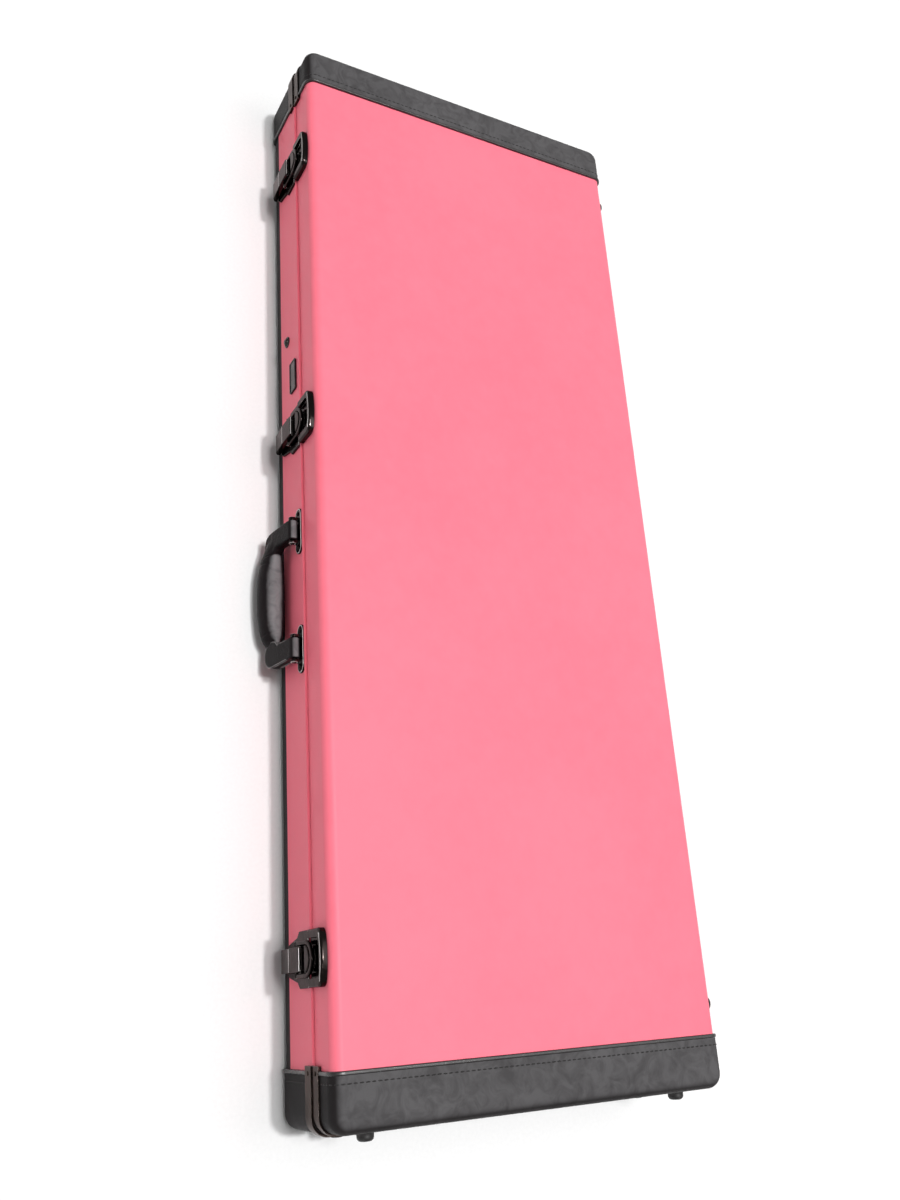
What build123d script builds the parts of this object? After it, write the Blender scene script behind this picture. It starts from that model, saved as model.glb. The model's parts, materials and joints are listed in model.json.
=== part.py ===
"""Hard-shell electric guitar case lying on its back, lid up. Millimetres.

X runs along the case (+X is the wide-bout end of the guitar), Y across it (the handle is on -Y, the
hinges on +Y) and Z up. The origin is the middle of the flat back, on the floor.
"""

import os

from build123d import *

os.makedirs("parts", exist_ok=True)

# Driving dimensions of the two shells
case_length = 1070.0
case_width = 385.0
base_height = 69.0
lid_height = 36.2
parting_gap = 0.8
lid_inset = 1.2
wall = 9.0
lid_wall = 8.0
lid_top = 5.0
corner_radius = 12.0
lid_edge_radius = 9.0
base_lip_radius = 1.0

# Black back cover with its turned-up edge
back_thickness = 4.0
back_band_height = 16.0
back_band_thickness = 2.0
back_edge_radius = 7.0

# Leather end covers and the piping along their edge
leather = 1.6
cover_reach = 42.5
cover_floor_gap = 0.8
piping_width = 3.4
piping_height = 2.6
piping_round = 1.2

# Metal edge guards along the parting line
guard_thickness = 1.5
guard_height = 12.0
guard_tongue = 7.0
guard_wrap = 26.0
guard_nail_radius = 1.7
guard_nail_height = 0.9
guard_nail_inset = 5.5

# Draw latches
latch_head_inset = 130.0
latch_body_inset = 130.5
latch_middle = -91.0
plate_thickness = 2.5
plate_half_width = 22.8
plate_waist = 18.0
plate_foot = 13.5
plate_top_gap = 1.0
plate_height = 52.0
plate_shoulder = 21.0
plate_shoulder_slope = 5.0
pivot_height = 61.0
pivot_out = 5.8
pivot_radius = 1.5
ear_radius = 2.4
ear_root_low = 5.0
ear_root_high = 0.5
ear_outer = 7.9
ear_thickness = 2.3
lever_half_width = 9.75
lever_skin = 1.2
lever_out = 9.8
lever_head_reach = 2.8
lever_back_gap = 0.8
lever_tip_curl = 3.2
lever_tip = 17.0
lever_bend = 41.0
running_clearance = 0.05
loop_pin_radius = 1.3
loop_pin_height = 48.0
loop_pin_out = 5.0
loop_eye_radius = 2.3
loop_outer = 14.6
loop_inner = 11.0
loop_centre_height = 69.5
loop_out_low = 3.6
loop_out_high = 6.4
catch_half_width = 22.8
catch_height = 31.2
catch_depth = 4.6
catch_floor = 1.0
catch_recess = 15.8
catch_wall = 5.0
catch_edge_round = 2.2
catch_corner = 3.0
catch_bow = 4.0
catch_shoulder = 7.0
recess_corner = 6.0
nose_clearance = 0.5
nose_out = 7.2
rivet_radius = 2.2
plate_rivet_levels = (9.0, 22.0)
catch_rivet_inset = 9.2
catch_rivet_spread = 9.5
rivet_height = 1.1
rivet_round_share = 0.7
plate_edge_round = 0.8
lever_edge_round = 0.5
loop_edge_round = 0.9
nose_edge_round = 1.0
bracket_edge_round = 0.7
leaf_edge_round = 0.4

# Carrying handle, stored hanging against the side
bracket_places = (19.5, 136.0)
bracket_length = 46.0
bracket_height = 14.0
bracket_centre_height = 60.0
bracket_thickness = 1.8
bracket_rivet_spacing = 35.0
lug_thickness = 2.2
lug_gap = 21.6
lug_radius = 3.4
handle_pin_radius = 1.9
handle_pin_out = 7.2
handle_pin_height = 59.0
handle_pin_proud = 0.8
strap_width = 19.0
strap_eye_radius = 4.9
strap_bore_clearance = 0.4
strap_end_radius = 5.4
grip_centre_out = 14.2
grip_centre_height = 16.5
grip_radius = 12.8
strap_drop = 21.0
paddle_radius = 12.5
paddle_shift = 2.6
paddle_drop = 33.0
paddle_round = 1.3
grip_bend_reach = 14.0
grip_bend_lift = 4.0
grip_shoulder_reach = 28.0
grip_shoulder_lift = 0.9
grip_root_width = 8.0
grip_root_thickness = 6.4
grip_bend_width = 9.8
grip_bend_thickness = 8.6
grip_shoulder_width = 11.7
grip_shoulder_thickness = 11.3

# Badge plate and stud on the front
badge_centre = (-154.5, 51.0)
badge_size = (35.0, 15.5)
badge_thickness = 2.0
badge_corner = 2.0
badge_edge_round = 0.8
stud_centre = (-204.0, 35.0)
stud_radius = 5.8
stud_height = 3.6
stud_round = 2.88

# Feet
foot_radius = 7.5
foot_height = 7.5
foot_round = 3.5
side_foot_head_inset = 73.0
side_foot_body_inset = 72.0
end_foot_inset = 37.5
base_foot_height = 22.0
lid_side_foot_height = 87.0
lid_end_foot_height = 80.0

# Butt hinges on the back side
hinge_inset = 205.0
hinge_length = 60.0
hinge_leaf_thickness = 1.5
hinge_leaf_drop = 24.0
hinge_leaf_rise = 22.0
hinge_barrel_radius = 3.2
hinge_pin_radius = 1.6
hinge_axis_out = 3.7
hinge_knuckle_gap = 0.4
hinge_leaf_gap = 0.6
hinge_pin_proud = 0.6
leaf_corner = 1.2
knuckle_count = 5
hinge_screw_radius = 2.6
hinge_screw_height = 0.8
hinge_screw_spread = 20.0
base_screw_share = 0.68
lid_screw_share = 0.7

# Padding inside
lining = 2.5
lining_floor = 3.0
lining_drop = 2.0
pad_clearance = 0.5
pad_top = 62.0
pad_floor = 8.0
cradle_start = 60.0
well_margin = 12.0
well_length = 412.0
upper_bout = 290.0
waist = 240.0
lower_bout = 338.0
neck_slot = 83.0
divide_start = -250.0
neck_rest_length = 45.0
neck_rest_groove = 30.0
neck_rest_top = 58.0
head_well_length = 236.0
head_well_width = 210.0
pad_corner = 14.0
block_corner = 4.0
side_pad_round = 3.0

# Accessory box
box_wall = 5.0
box_top = 60.0
box_lid_thickness = 4.0
box_lid_gap = 0.4
box_lid_clearance = 1.0
tab_length = 26.0
tab_width = 22.0
tab_thickness = 2.0
tab_corner = 4.0
tab_inset = 1.0

# Lid pad
lid_pad_thickness = 15.0
lid_pad_round = 11.0

# Worked-out levels
front_y = -case_width / 2
back_y = case_width / 2
end_x = case_length / 2
lid_bottom = base_height + parting_gap
case_top = lid_bottom + lid_height
cover_edge_x = end_x - cover_reach
latch_places = (latch_head_inset - end_x, latch_middle, end_x - latch_body_inset)
hinge_places = (hinge_inset - end_x, 0.0, end_x - hinge_inset)
side_foot_places = (side_foot_head_inset - end_x, end_x - side_foot_body_inset)
end_foot_places = (end_foot_inset - back_y, back_y - end_foot_inset)
guard_start_x = cover_edge_x - guard_tongue
hinge_axis_height = base_height + parting_gap / 2
inner_x = end_x - wall - lining
inner_y = case_width / 2 - wall - lining
pad_bottom = back_thickness + lining_floor
pad_x = inner_x - pad_clearance
pad_y = inner_y - pad_clearance


def front_plane(x=0.0, out=0.0):
    """Plane on the handle side: local x is X, local y is Z, normal outwards (-Y)."""
    return Plane(origin=(x, front_y - out, 0), x_dir=(1, 0, 0), z_dir=(0, -1, 0))


def front_section(x):
    """Plane across the handle side: local x is the distance out, local y is Z."""
    return Plane(origin=(x, front_y, 0), x_dir=(0, -1, 0), z_dir=(-1, 0, 0))


def back_section(x):
    """Plane across the hinge side: local x is the distance out, local y is Z."""
    return Plane(origin=(x, back_y, 0), x_dir=(0, 1, 0), z_dir=(1, 0, 0))


def keep(piece, name):
    """Label a finished piece and write it to its own file."""
    piece.part.label = name
    export_step(piece.part, f"parts/{name}.step")


def base_block(grow=0.0):
    """Outer form of the base, grown by a distance on its sides, ends and back."""
    with BuildPart() as block:
        with BuildSketch(Plane.XY.offset(-grow)):
            RectangleRounded(case_length + 2 * grow, case_width + 2 * grow, corner_radius + grow)
        extrude(amount=base_height + grow)
        fillet(block.faces().sort_by(Axis.Z)[0].edges(), back_edge_radius + grow)
    return block.part


def lid_block(grow=0.0):
    """Outer form of the lid, grown by a distance on its sides, ends and top."""
    length = case_length - 2 * lid_inset + 2 * grow
    width = case_width - 2 * lid_inset + 2 * grow
    with BuildPart() as block:
        with BuildSketch(Plane.XY.offset(lid_bottom)):
            RectangleRounded(length, width, corner_radius + grow)
        extrude(amount=lid_height + grow)
        fillet(block.faces().sort_by(Axis.Z)[-1].edges(), lid_edge_radius + grow)
    return block.part


def slab(x_low, x_high, y_low, y_high, z_low, z_high):
    """A plain box between limits, used to cut or keep a region."""
    centre = ((x_low + x_high) / 2, (y_low + y_high) / 2, (z_low + z_high) / 2)
    size = (x_high - x_low, y_high - y_low, z_high - z_low)
    return Pos(*centre) * Box(*size)


room = 20.0
base_outer = base_block()
lid_outer = lid_block()

# Back cover: flat back with a band turned up round the lower edge
with BuildPart() as back_cover:
    add(base_outer)
    with BuildSketch(Plane.XY.offset(back_band_height)):
        Rectangle(case_length + room, case_width + room)
    extrude(amount=base_height, mode=Mode.SUBTRACT)
    with BuildSketch(Plane.XY.offset(back_thickness)):
        RectangleRounded(
            case_length - 2 * back_band_thickness,
            case_width - 2 * back_band_thickness,
            corner_radius - back_band_thickness,
        )
    extrude(amount=back_band_height, mode=Mode.SUBTRACT)
keep(back_cover, "back_cover")

# Base frame: four covered walls, stepped in behind the band of the back cover
with BuildPart() as base_frame:
    with BuildSketch(Plane.XY.offset(back_thickness)):
        RectangleRounded(
            case_length - 2 * back_band_thickness,
            case_width - 2 * back_band_thickness,
            corner_radius - back_band_thickness,
        )
    extrude(amount=back_band_height - back_thickness)
    with BuildSketch(Plane.XY.offset(back_band_height)):
        RectangleRounded(case_length, case_width, corner_radius)
    extrude(amount=base_height - back_band_height)
    top_edges = base_frame.faces().sort_by(Axis.Z)[-1].edges()
    fillet(top_edges, base_lip_radius)
    with BuildSketch(Plane.XY.offset(back_thickness)):
        RectangleRounded(case_length - 2 * wall, case_width - 2 * wall, corner_radius - wall)
    extrude(amount=base_height, mode=Mode.SUBTRACT)
keep(base_frame, "base_frame")

# Lid shell: top panel and walls in one covered shell
with BuildPart() as lid_shell:
    add(lid_outer)
    with BuildSketch(Plane.XY.offset(lid_bottom)):
        RectangleRounded(
            case_length - 2 * (lid_inset + lid_wall),
            case_width - 2 * (lid_inset + lid_wall),
            corner_radius - lid_wall,
        )
    extrude(amount=lid_height - lid_top, mode=Mode.SUBTRACT)
keep(lid_shell, "lid_shell")


# Leather end covers, wrapped over the ends of the base and the lid
def end_cover(grown, inner, side, z_low, z_high):
    """Leather sleeve over one end: the grown form less the form it covers."""
    x_low, x_high = sorted((side * cover_edge_x, side * (end_x + room)))
    with BuildPart() as cover:
        add(grown)
        add(inner, mode=Mode.SUBTRACT)
        add(slab(x_low, x_high, -case_width, case_width, z_low, z_high), mode=Mode.INTERSECT)
    return cover


base_leather = base_block(leather)
lid_leather = lid_block(leather)
for side, end_name in ((-1, "head"), (1, "body")):
    base_cover = end_cover(base_leather, base_outer, side, cover_floor_gap, base_height)
    keep(base_cover, f"base_end_cover_{end_name}")
    lid_cover = end_cover(lid_leather, lid_outer, side, lid_bottom, case_top + room)
    keep(lid_cover, f"lid_end_cover_{end_name}")


# Piping: a rounded welt along the edge of each end cover
def piping_ring(grown, inner, side, z_low, z_high):
    """Welt beside one cover: a narrow slice of the grown form, its outer edges rounded."""
    x_high = cover_edge_x
    x_low = x_high - piping_width
    x_from, x_to = sorted((side * x_low, side * x_high))
    with BuildPart() as ring:
        add(grown)
        add(slab(x_from, x_to, -case_width, case_width, z_low, z_high), mode=Mode.INTERSECT)
        long_edges = ring.edges().filter_by(Axis.X, reverse=True)
        rims = long_edges.filter_by(lambda e: abs(e.center().Z - z_low) > 0.01)
        rims = rims.filter_by(lambda e: abs(e.center().Z - z_high) > 0.01)
        fillet(rims, piping_round)
        add(inner, mode=Mode.SUBTRACT)
    return ring.part


base_piping_top = base_height - guard_height
lid_piping_bottom = lid_bottom + guard_height
base_welt_form = base_block(piping_height)
lid_welt_form = lid_block(piping_height)
with BuildPart() as base_piping:
    for side in (-1, 1):
        add(piping_ring(base_welt_form, base_outer, side, cover_floor_gap, base_piping_top))
keep(base_piping, "base_piping")

with BuildPart() as lid_piping:
    for side in (-1, 1):
        add(piping_ring(lid_welt_form, lid_outer, side, lid_piping_bottom, case_top + room))
keep(lid_piping, "lid_piping")


# Edge guards: metal strips beside the parting line, wrapped round the four corners
def edge_guards(grown, covered, inner, z_low, z_high):
    """Four corner strips between the leather and the grown form, with a tongue on the pink."""
    with BuildPart() as guards:
        for x_side in (-1, 1):
            for y_side in (-1, 1):
                x_low, x_high = sorted((x_side * guard_start_x, x_side * (end_x + room)))
                y_low, y_high = sorted((y_side * (back_y - guard_wrap), y_side * (back_y + room)))
                with BuildPart(mode=Mode.PRIVATE) as strip:
                    add(grown)
                    add(slab(x_low, x_high, y_low, y_high, z_low, z_high), mode=Mode.INTERSECT)
                    add(covered, mode=Mode.SUBTRACT)
                    add(inner, mode=Mode.SUBTRACT)
                add(strip.part)
    return guards


def leather_zone(grown):
    """The leather-covered stretches at both ends of a grown form."""
    with BuildPart() as zone:
        add(grown)
        middle = slab(-cover_edge_x, cover_edge_x, -case_width, case_width, -room, case_top + room)
        add(middle, mode=Mode.SUBTRACT)
    return zone.part


guard_grow = leather + guard_thickness
base_guard_form = base_block(guard_grow)
lid_guard_form = lid_block(guard_grow)
base_guards = edge_guards(
    base_guard_form, leather_zone(base_leather), base_outer, base_height - guard_height, base_height
)
keep(base_guards, "base_edge_guards")
lid_guards = edge_guards(
    lid_guard_form, leather_zone(lid_leather), lid_outer, lid_bottom, lid_bottom + guard_height
)
keep(lid_guards, "lid_edge_guards")


def guard_nails(height, out):
    """One domed nail near each end of the four strips at one level."""
    with BuildPart() as nails:
        for x_side in (-1, 1):
            for y_side in (-1, 1):
                start = Plane(
                    origin=(x_side * (guard_start_x + guard_nail_inset), y_side * (back_y + out), height),
                    x_dir=(1, 0, 0),
                    z_dir=(0, y_side, 0),
                )
                end = Plane(
                    origin=(x_side * (end_x + out), y_side * (back_y - guard_wrap + guard_nail_inset), height),
                    x_dir=(0, 1, 0),
                    z_dir=(x_side, 0, 0),
                )
                for seat in (start, end):
                    with BuildSketch(seat):
                        Circle(guard_nail_radius)
                    extrude(amount=guard_nail_height)
    return nails


base_guard_nails = guard_nails(base_height - guard_height / 2, guard_grow)
keep(base_guard_nails, "base_guard_nails")
lid_guard_nails = guard_nails(lid_bottom + guard_height / 2, guard_grow - lid_inset)
keep(lid_guard_nails, "lid_guard_nails")

# Draw latches, one set at each place
plate_top = base_height - plate_top_gap
plate_low = plate_top - plate_height
catch_top = lid_bottom + catch_height
nose_radius = loop_inner - nose_clearance
for number, x in enumerate(latch_places, start=1):
    # Base plate with a waisted foot and two ears for the pivot
    with BuildPart() as latch_plate:
        with BuildSketch(front_plane(x)):
            with BuildLine():
                shoulder = plate_top - plate_shoulder
                Polyline(
                    (-plate_half_width, plate_top),
                    (-plate_half_width, shoulder),
                    (-plate_waist, shoulder - plate_shoulder_slope),
                    (-plate_foot, plate_low + plate_foot / 2),
                    (-plate_foot / 2, plate_low),
                    (plate_foot / 2, plate_low),
                    (plate_foot, plate_low + plate_foot / 2),
                    (plate_waist, shoulder - plate_shoulder_slope),
                    (plate_half_width, shoulder),
                    (plate_half_width, plate_top),
                    close=True,
                )
            make_face()
        extrude(amount=plate_thickness)
        fillet(latch_plate.faces().sort_by(Axis.Y)[0].edges(), plate_edge_round)
        for side in (-1, 1):
            with BuildSketch(front_section(x + side * (ear_outer - ear_thickness / 2))):
                with Locations((pivot_out, pivot_height)):
                    Circle(ear_radius)
                with BuildLine():
                    Line(
                        (plate_thickness, pivot_height - ear_root_low),
                        (plate_thickness, pivot_height + ear_root_high),
                    )
                make_hull()
            extrude(amount=ear_thickness / 2, both=True)
        with BuildSketch(front_section(x)):
            with Locations((pivot_out, pivot_height)):
                Circle(pivot_radius)
        extrude(amount=ear_outer + room, both=True, mode=Mode.SUBTRACT)
    keep(latch_plate, f"latch_plate_{number}")

    # Lever: a bent channel, open towards the plate, with its tip curled in
    with BuildPart() as latch_lever:
        with BuildSketch(front_section(x)):
            with BuildLine():
                lever_back = plate_thickness + lever_back_gap
                Polyline(
                    (lever_back, pivot_height + lever_head_reach * 0.5),
                    (pivot_out - lever_head_reach * 0.5, pivot_height + lever_head_reach * 0.9),
                    (pivot_out + lever_head_reach * 0.6, pivot_height + lever_head_reach * 0.95),
                    (lever_out, pivot_height + lever_head_reach * 0.4),
                    (lever_out, lever_bend),
                    (lever_out - lever_skin, lever_tip + lever_tip_curl),
                    (lever_out - lever_tip_curl, lever_tip),
                    (lever_back, lever_tip),
                    (lever_back, lever_tip + lever_skin),
                    (lever_back + lever_skin, lever_bend),
                    close=True,
                )
            make_face()
        extrude(amount=lever_half_width, both=True)
        flanks = latch_lever.faces().filter_by(Axis.X)
        fillet(flanks.edges(), lever_edge_round)
        with BuildSketch(front_section(x)):
            with BuildLine():
                pocket_face = lever_out - lever_skin
                Polyline(
                    (0, pivot_height + lever_tip_curl),
                    (pocket_face, pivot_height + lever_tip_curl),
                    (pocket_face, lever_bend),
                    (pocket_face - lever_skin, lever_tip + lever_tip_curl),
                    (pocket_face - lever_tip_curl + lever_skin, lever_tip + lever_skin),
                    (0, lever_tip + lever_skin),
                    close=True,
                )
            make_face()
        extrude(amount=lever_half_width - lever_skin, both=True, mode=Mode.SUBTRACT)
        with BuildSketch(front_section(x)):
            with Locations((pivot_out, pivot_height)):
                Circle(pivot_radius + running_clearance)
            with Locations((loop_pin_out, loop_pin_height)):
                Circle(loop_pin_radius)
        extrude(amount=lever_half_width + room, both=True, mode=Mode.SUBTRACT)
    keep(latch_lever, f"latch_lever_{number}")

    # Pin that carries the draw loop, fixed in the lever
    with BuildPart() as loop_pin:
        with BuildSketch(front_section(x)):
            with Locations((loop_pin_out, loop_pin_height)):
                Circle(loop_pin_radius)
        extrude(amount=loop_outer, both=True)
    keep(loop_pin, f"loop_pin_{number}")

    # Draw loop: two arms joined by a half ring that drops over the nose of the catch
    with BuildPart() as latch_loop:
        with BuildSketch(front_plane(x, loop_out_low)):
            arm_low = loop_pin_height - loop_eye_radius / 2
            with Locations((0, loop_centre_height)):
                Circle(loop_outer)
            with Locations((0, (arm_low + loop_centre_height) / 2)):
                Rectangle(2 * loop_outer, loop_centre_height - arm_low)
            with Locations((0, loop_centre_height)):
                Circle(loop_inner, mode=Mode.SUBTRACT)
            with Locations((0, (arm_low - room + loop_centre_height) / 2)):
                Rectangle(2 * loop_inner, loop_centre_height - arm_low + room, mode=Mode.SUBTRACT)
        extrude(amount=loop_out_high - loop_out_low)
        outer_rim = latch_loop.faces().sort_by(Axis.Y)[0].edges()
        inner_rim = latch_loop.faces().sort_by(Axis.Y)[-1].edges()
        fillet(outer_rim + inner_rim, loop_edge_round)
        for side in (-1, 1):
            with BuildSketch(front_section(x + side * (loop_outer + loop_inner) / 2)):
                with Locations((loop_pin_out, loop_pin_height)):
                    Circle(loop_eye_radius)
            extrude(amount=(loop_outer - loop_inner) / 2, both=True)
        with BuildSketch(front_section(x)):
            with Locations((loop_pin_out, loop_pin_height)):
                Circle(loop_pin_radius + running_clearance)
        extrude(amount=loop_outer + room, both=True, mode=Mode.SUBTRACT)
    keep(latch_loop, f"latch_loop_{number}")

    # Catch on the lid: a recessed box with a bowed top and the nose that the loop pulls on
    with BuildPart() as latch_catch:
        with BuildSketch(front_plane(x, -lid_inset)) as catch_outline:
            with BuildLine():
                bow_end = catch_top - catch_bow
                ThreePointArc(
                    (-catch_half_width, bow_end), (0, catch_top), (catch_half_width, bow_end)
                )
                Polyline(
                    (catch_half_width, bow_end),
                    (catch_half_width, lid_bottom),
                    (-catch_half_width, lid_bottom),
                    (-catch_half_width, bow_end),
                )
            make_face()
            fillet(catch_outline.vertices().group_by(Axis.Y)[-1], catch_shoulder)
            fillet(catch_outline.vertices().group_by(Axis.Y)[0], catch_corner)
        extrude(amount=catch_depth + lid_inset)
        outer_face = latch_catch.faces().sort_by(Axis.Y)[0]
        fillet(outer_face.edges(), catch_edge_round)
        with BuildSketch(front_plane(x, catch_floor)):
            recess_top = catch_top - catch_wall
            with Locations((0, lid_bottom + (recess_top - lid_bottom) / 2 - room / 2)):
                RectangleRounded(2 * catch_recess, recess_top - lid_bottom + room, recess_corner)
        extrude(amount=catch_depth + room, mode=Mode.SUBTRACT)
        with BuildSketch(front_plane(x, catch_floor)):
            with Locations((0, loop_centre_height)):
                Circle(nose_radius)
            with Locations((0, lid_bottom - nose_radius)):
                Rectangle(3 * nose_radius, 2 * nose_radius, mode=Mode.SUBTRACT)
        extrude(amount=nose_out - catch_floor)
        fillet(latch_catch.faces().sort_by(Axis.Y)[0].edges(), nose_edge_round)
    keep(latch_catch, f"latch_catch_{number}")

# Pivot pins of the levers, fixed in the ears of the plates
with BuildPart() as latch_pivot_pins:
    for x in latch_places:
        with BuildSketch(front_section(x)):
            with Locations((pivot_out, pivot_height)):
                Circle(pivot_radius)
        extrude(amount=lever_half_width, both=True)
keep(latch_pivot_pins, "latch_pivot_pins")


def rivet_row(centres, seat_plane, radius, height):
    """Low domed heads, one solid each."""
    with BuildPart() as row:
        with BuildSketch(seat_plane):
            with Locations(*centres):
                Circle(radius)
        extrude(amount=height)
        heads = row.faces().filter_by(GeomType.PLANE).sort_by(Axis((0, 0, 0), seat_plane.z_dir))
        fillet(heads[-len(centres) :].edges(), height * rivet_round_share)
    return row


plate_rivet_places = [(x, plate_low + drop) for x in latch_places for drop in plate_rivet_levels]
plate_rivets = rivet_row(plate_rivet_places, front_plane(0, plate_thickness), rivet_radius, rivet_height)
keep(plate_rivets, "latch_plate_rivets")
catch_rivet_places = [
    (x + side * catch_rivet_spread, catch_top - catch_rivet_inset) for x in latch_places for side in (-1, 1)
]
catch_rivets = rivet_row(catch_rivet_places, front_plane(0, catch_floor), rivet_radius, rivet_height)
keep(catch_rivets, "latch_catch_rivets")

# Handle brackets: an oval plate with two lugs for the pin
for number, x in enumerate(bracket_places, start=1):
    with BuildPart() as bracket:
        with BuildSketch(front_plane(x)):
            with Locations((0, bracket_centre_height)):
                SlotOverall(bracket_length, bracket_height)
        extrude(amount=bracket_thickness)
        fillet(bracket.faces().sort_by(Axis.Y)[0].edges(), bracket_edge_round)
        for side in (-1, 1):
            with BuildSketch(front_section(x + side * (lug_gap + lug_thickness) / 2)):
                with Locations((handle_pin_out, handle_pin_height)):
                    Circle(lug_radius)
                with Locations(((bracket_thickness + handle_pin_out) / 2, handle_pin_height)):
                    Rectangle(handle_pin_out - bracket_thickness, 2 * lug_radius)
            extrude(amount=lug_thickness / 2, both=True)
        with BuildSketch(front_section(x)):
            with Locations((handle_pin_out, handle_pin_height)):
                Circle(handle_pin_radius)
        extrude(amount=lug_gap / 2 + room, both=True, mode=Mode.SUBTRACT)
    keep(bracket, f"handle_bracket_{number}")

with BuildPart() as handle_pins:
    for x in bracket_places:
        with BuildSketch(front_section(x)):
            with Locations((handle_pin_out, handle_pin_height)):
                Circle(handle_pin_radius)
        extrude(amount=lug_gap / 2 + lug_thickness + handle_pin_proud, both=True)
keep(handle_pins, "handle_pins")

bracket_rivet_places = [
    (x + side * bracket_rivet_spacing / 2, bracket_centre_height) for x in bracket_places for side in (-1, 1)
]
bracket_rivets = rivet_row(
    bracket_rivet_places, front_plane(0, bracket_thickness), rivet_radius, rivet_height
)
keep(bracket_rivets, "handle_bracket_rivets")

# The handle lies in one tilted plane that holds the pins and the middle of the grip
handle_drop = handle_pin_height - grip_centre_height
handle_lean = (grip_centre_out - handle_pin_out) / handle_drop
handle_normal = Vector(0, -1, handle_lean).normalized()
handle_stretch = (1 + handle_lean**2) ** 0.5
handle_middle = sum(bracket_places) / 2
paddle_places = (bracket_places[0] + paddle_shift, bracket_places[1] - paddle_shift)
handle_plane = Plane(
    origin=(0, front_y - handle_pin_out, handle_pin_height), x_dir=(1, 0, 0), z_dir=handle_normal
)


def handle_point(x, drop):
    """A point of the handle's plane, at a drop below the pins."""
    return (x, front_y - handle_pin_out - handle_lean * drop, handle_pin_height - drop)


# Handle straps: a leather band folded round each pin, widening to a round paddle
strap_end_out = handle_pin_out + handle_lean * strap_drop
strap_end_height = handle_pin_height - strap_drop
across_out = strap_end_radius * -handle_normal.Y
across_up = strap_end_radius * handle_normal.Z
paddle_level = -paddle_drop * handle_stretch
for number, (x, paddle_x) in enumerate(zip(bracket_places, paddle_places), start=1):
    with BuildPart() as strap:
        with BuildSketch(handle_plane):
            with Locations((paddle_x, paddle_level)):
                Circle(paddle_radius)
            with Locations((x, (paddle_level - strap_drop) / 2)):
                Rectangle(strap_width, -paddle_level - strap_drop)
        extrude(amount=strap_end_radius, both=True)
        flats = strap.faces().sort_by(Axis((0, 0, 0), handle_normal))
        fillet(flats[0].edges() + flats[-1].edges(), paddle_round)
        with BuildSketch(front_section(x)):
            with Locations((handle_pin_out, handle_pin_height)):
                Circle(strap_eye_radius)
            with BuildLine():
                Line(
                    (strap_end_out - across_out, strap_end_height - across_up),
                    (strap_end_out + across_out, strap_end_height + across_up),
                )
            make_hull()
        extrude(amount=strap_width / 2, both=True)
        with BuildSketch(front_section(x)):
            with Locations((handle_pin_out, handle_pin_height)):
                Circle(handle_pin_radius + strap_bore_clearance)
        extrude(amount=strap_width, both=True, mode=Mode.SUBTRACT)
    keep(strap, f"handle_strap_{number}")

# Grip: a padded bar that swells from the paddles, round both bends, to the middle
start_x, finish_x = paddle_places
bend_drop = handle_drop - grip_bend_lift
shoulder_drop = handle_drop - grip_shoulder_lift
with BuildPart() as handle_grip:
    with BuildLine() as grip_path:
        Spline(
            handle_point(start_x, paddle_drop),
            handle_point(start_x + grip_bend_reach, bend_drop),
            handle_point(start_x + grip_shoulder_reach, shoulder_drop),
            handle_point(handle_middle, handle_drop),
            handle_point(finish_x - grip_shoulder_reach, shoulder_drop),
            handle_point(finish_x - grip_bend_reach, bend_drop),
            handle_point(finish_x, paddle_drop),
        )
    grip_line = grip_path.wires()[0]
    stations = (
        (0.0, grip_root_thickness, grip_root_width),
        (0.13, grip_bend_thickness, grip_bend_width),
        (0.27, grip_shoulder_thickness, grip_shoulder_width),
        (0.5, grip_radius, grip_radius),
        (0.73, grip_shoulder_thickness, grip_shoulder_width),
        (0.87, grip_bend_thickness, grip_bend_width),
        (1.0, grip_root_thickness, grip_root_width),
    )
    for along, thickness, width in stations:
        place = Plane(origin=grip_line @ along, x_dir=handle_normal, z_dir=grip_line % along)
        with BuildSketch(place):
            Ellipse(thickness, width)
    sweep(path=grip_line, multisection=True)
    with BuildSketch(handle_plane):
        with Locations((start_x, paddle_level), (finish_x, paddle_level)):
            Circle(paddle_radius)
    extrude(amount=room, both=True, mode=Mode.SUBTRACT)
keep(handle_grip, "handle_grip")

# Badge plate, bare, and the round stud
with BuildPart() as badge_plate:
    with BuildSketch(front_plane()):
        with Locations(badge_centre):
            RectangleRounded(*badge_size, badge_corner)
    extrude(amount=badge_thickness)
    fillet(badge_plate.faces().sort_by(Axis.Y)[0].edges(), badge_edge_round)
keep(badge_plate, "badge_plate")

with BuildPart() as front_stud:
    with BuildSketch(front_plane()):
        with Locations(stud_centre):
            Circle(stud_radius)
    extrude(amount=stud_height)
    fillet(front_stud.faces().sort_by(Axis.Y)[0].edges(), stud_round)
keep(front_stud, "front_stud")


# Feet: low round bumpers on the hinge side and on the body end
def feet(side_out, end_out, side_level, end_level):
    """Four feet at one level: two on the hinge side and two on the body end."""
    with BuildPart() as group:
        side_plane = Plane(origin=(0, back_y + side_out, 0), x_dir=(-1, 0, 0), z_dir=(0, 1, 0))
        end_plane = Plane(origin=(end_x + end_out, 0, 0), x_dir=(0, 1, 0), z_dir=(1, 0, 0))
        with BuildSketch(side_plane):
            with Locations(*[(-place, side_level) for place in side_foot_places]):
                Circle(foot_radius)
        extrude(amount=foot_height)
        with BuildSketch(end_plane):
            with Locations(*[(place, end_level) for place in end_foot_places]):
                Circle(foot_radius)
        extrude(amount=foot_height)
        far_side = group.faces().sort_by(Axis.Y)[-2:].edges()
        far_end = group.faces().sort_by(Axis.X)[-2:].edges()
        fillet(far_side + far_end, foot_round)
    return group


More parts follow.
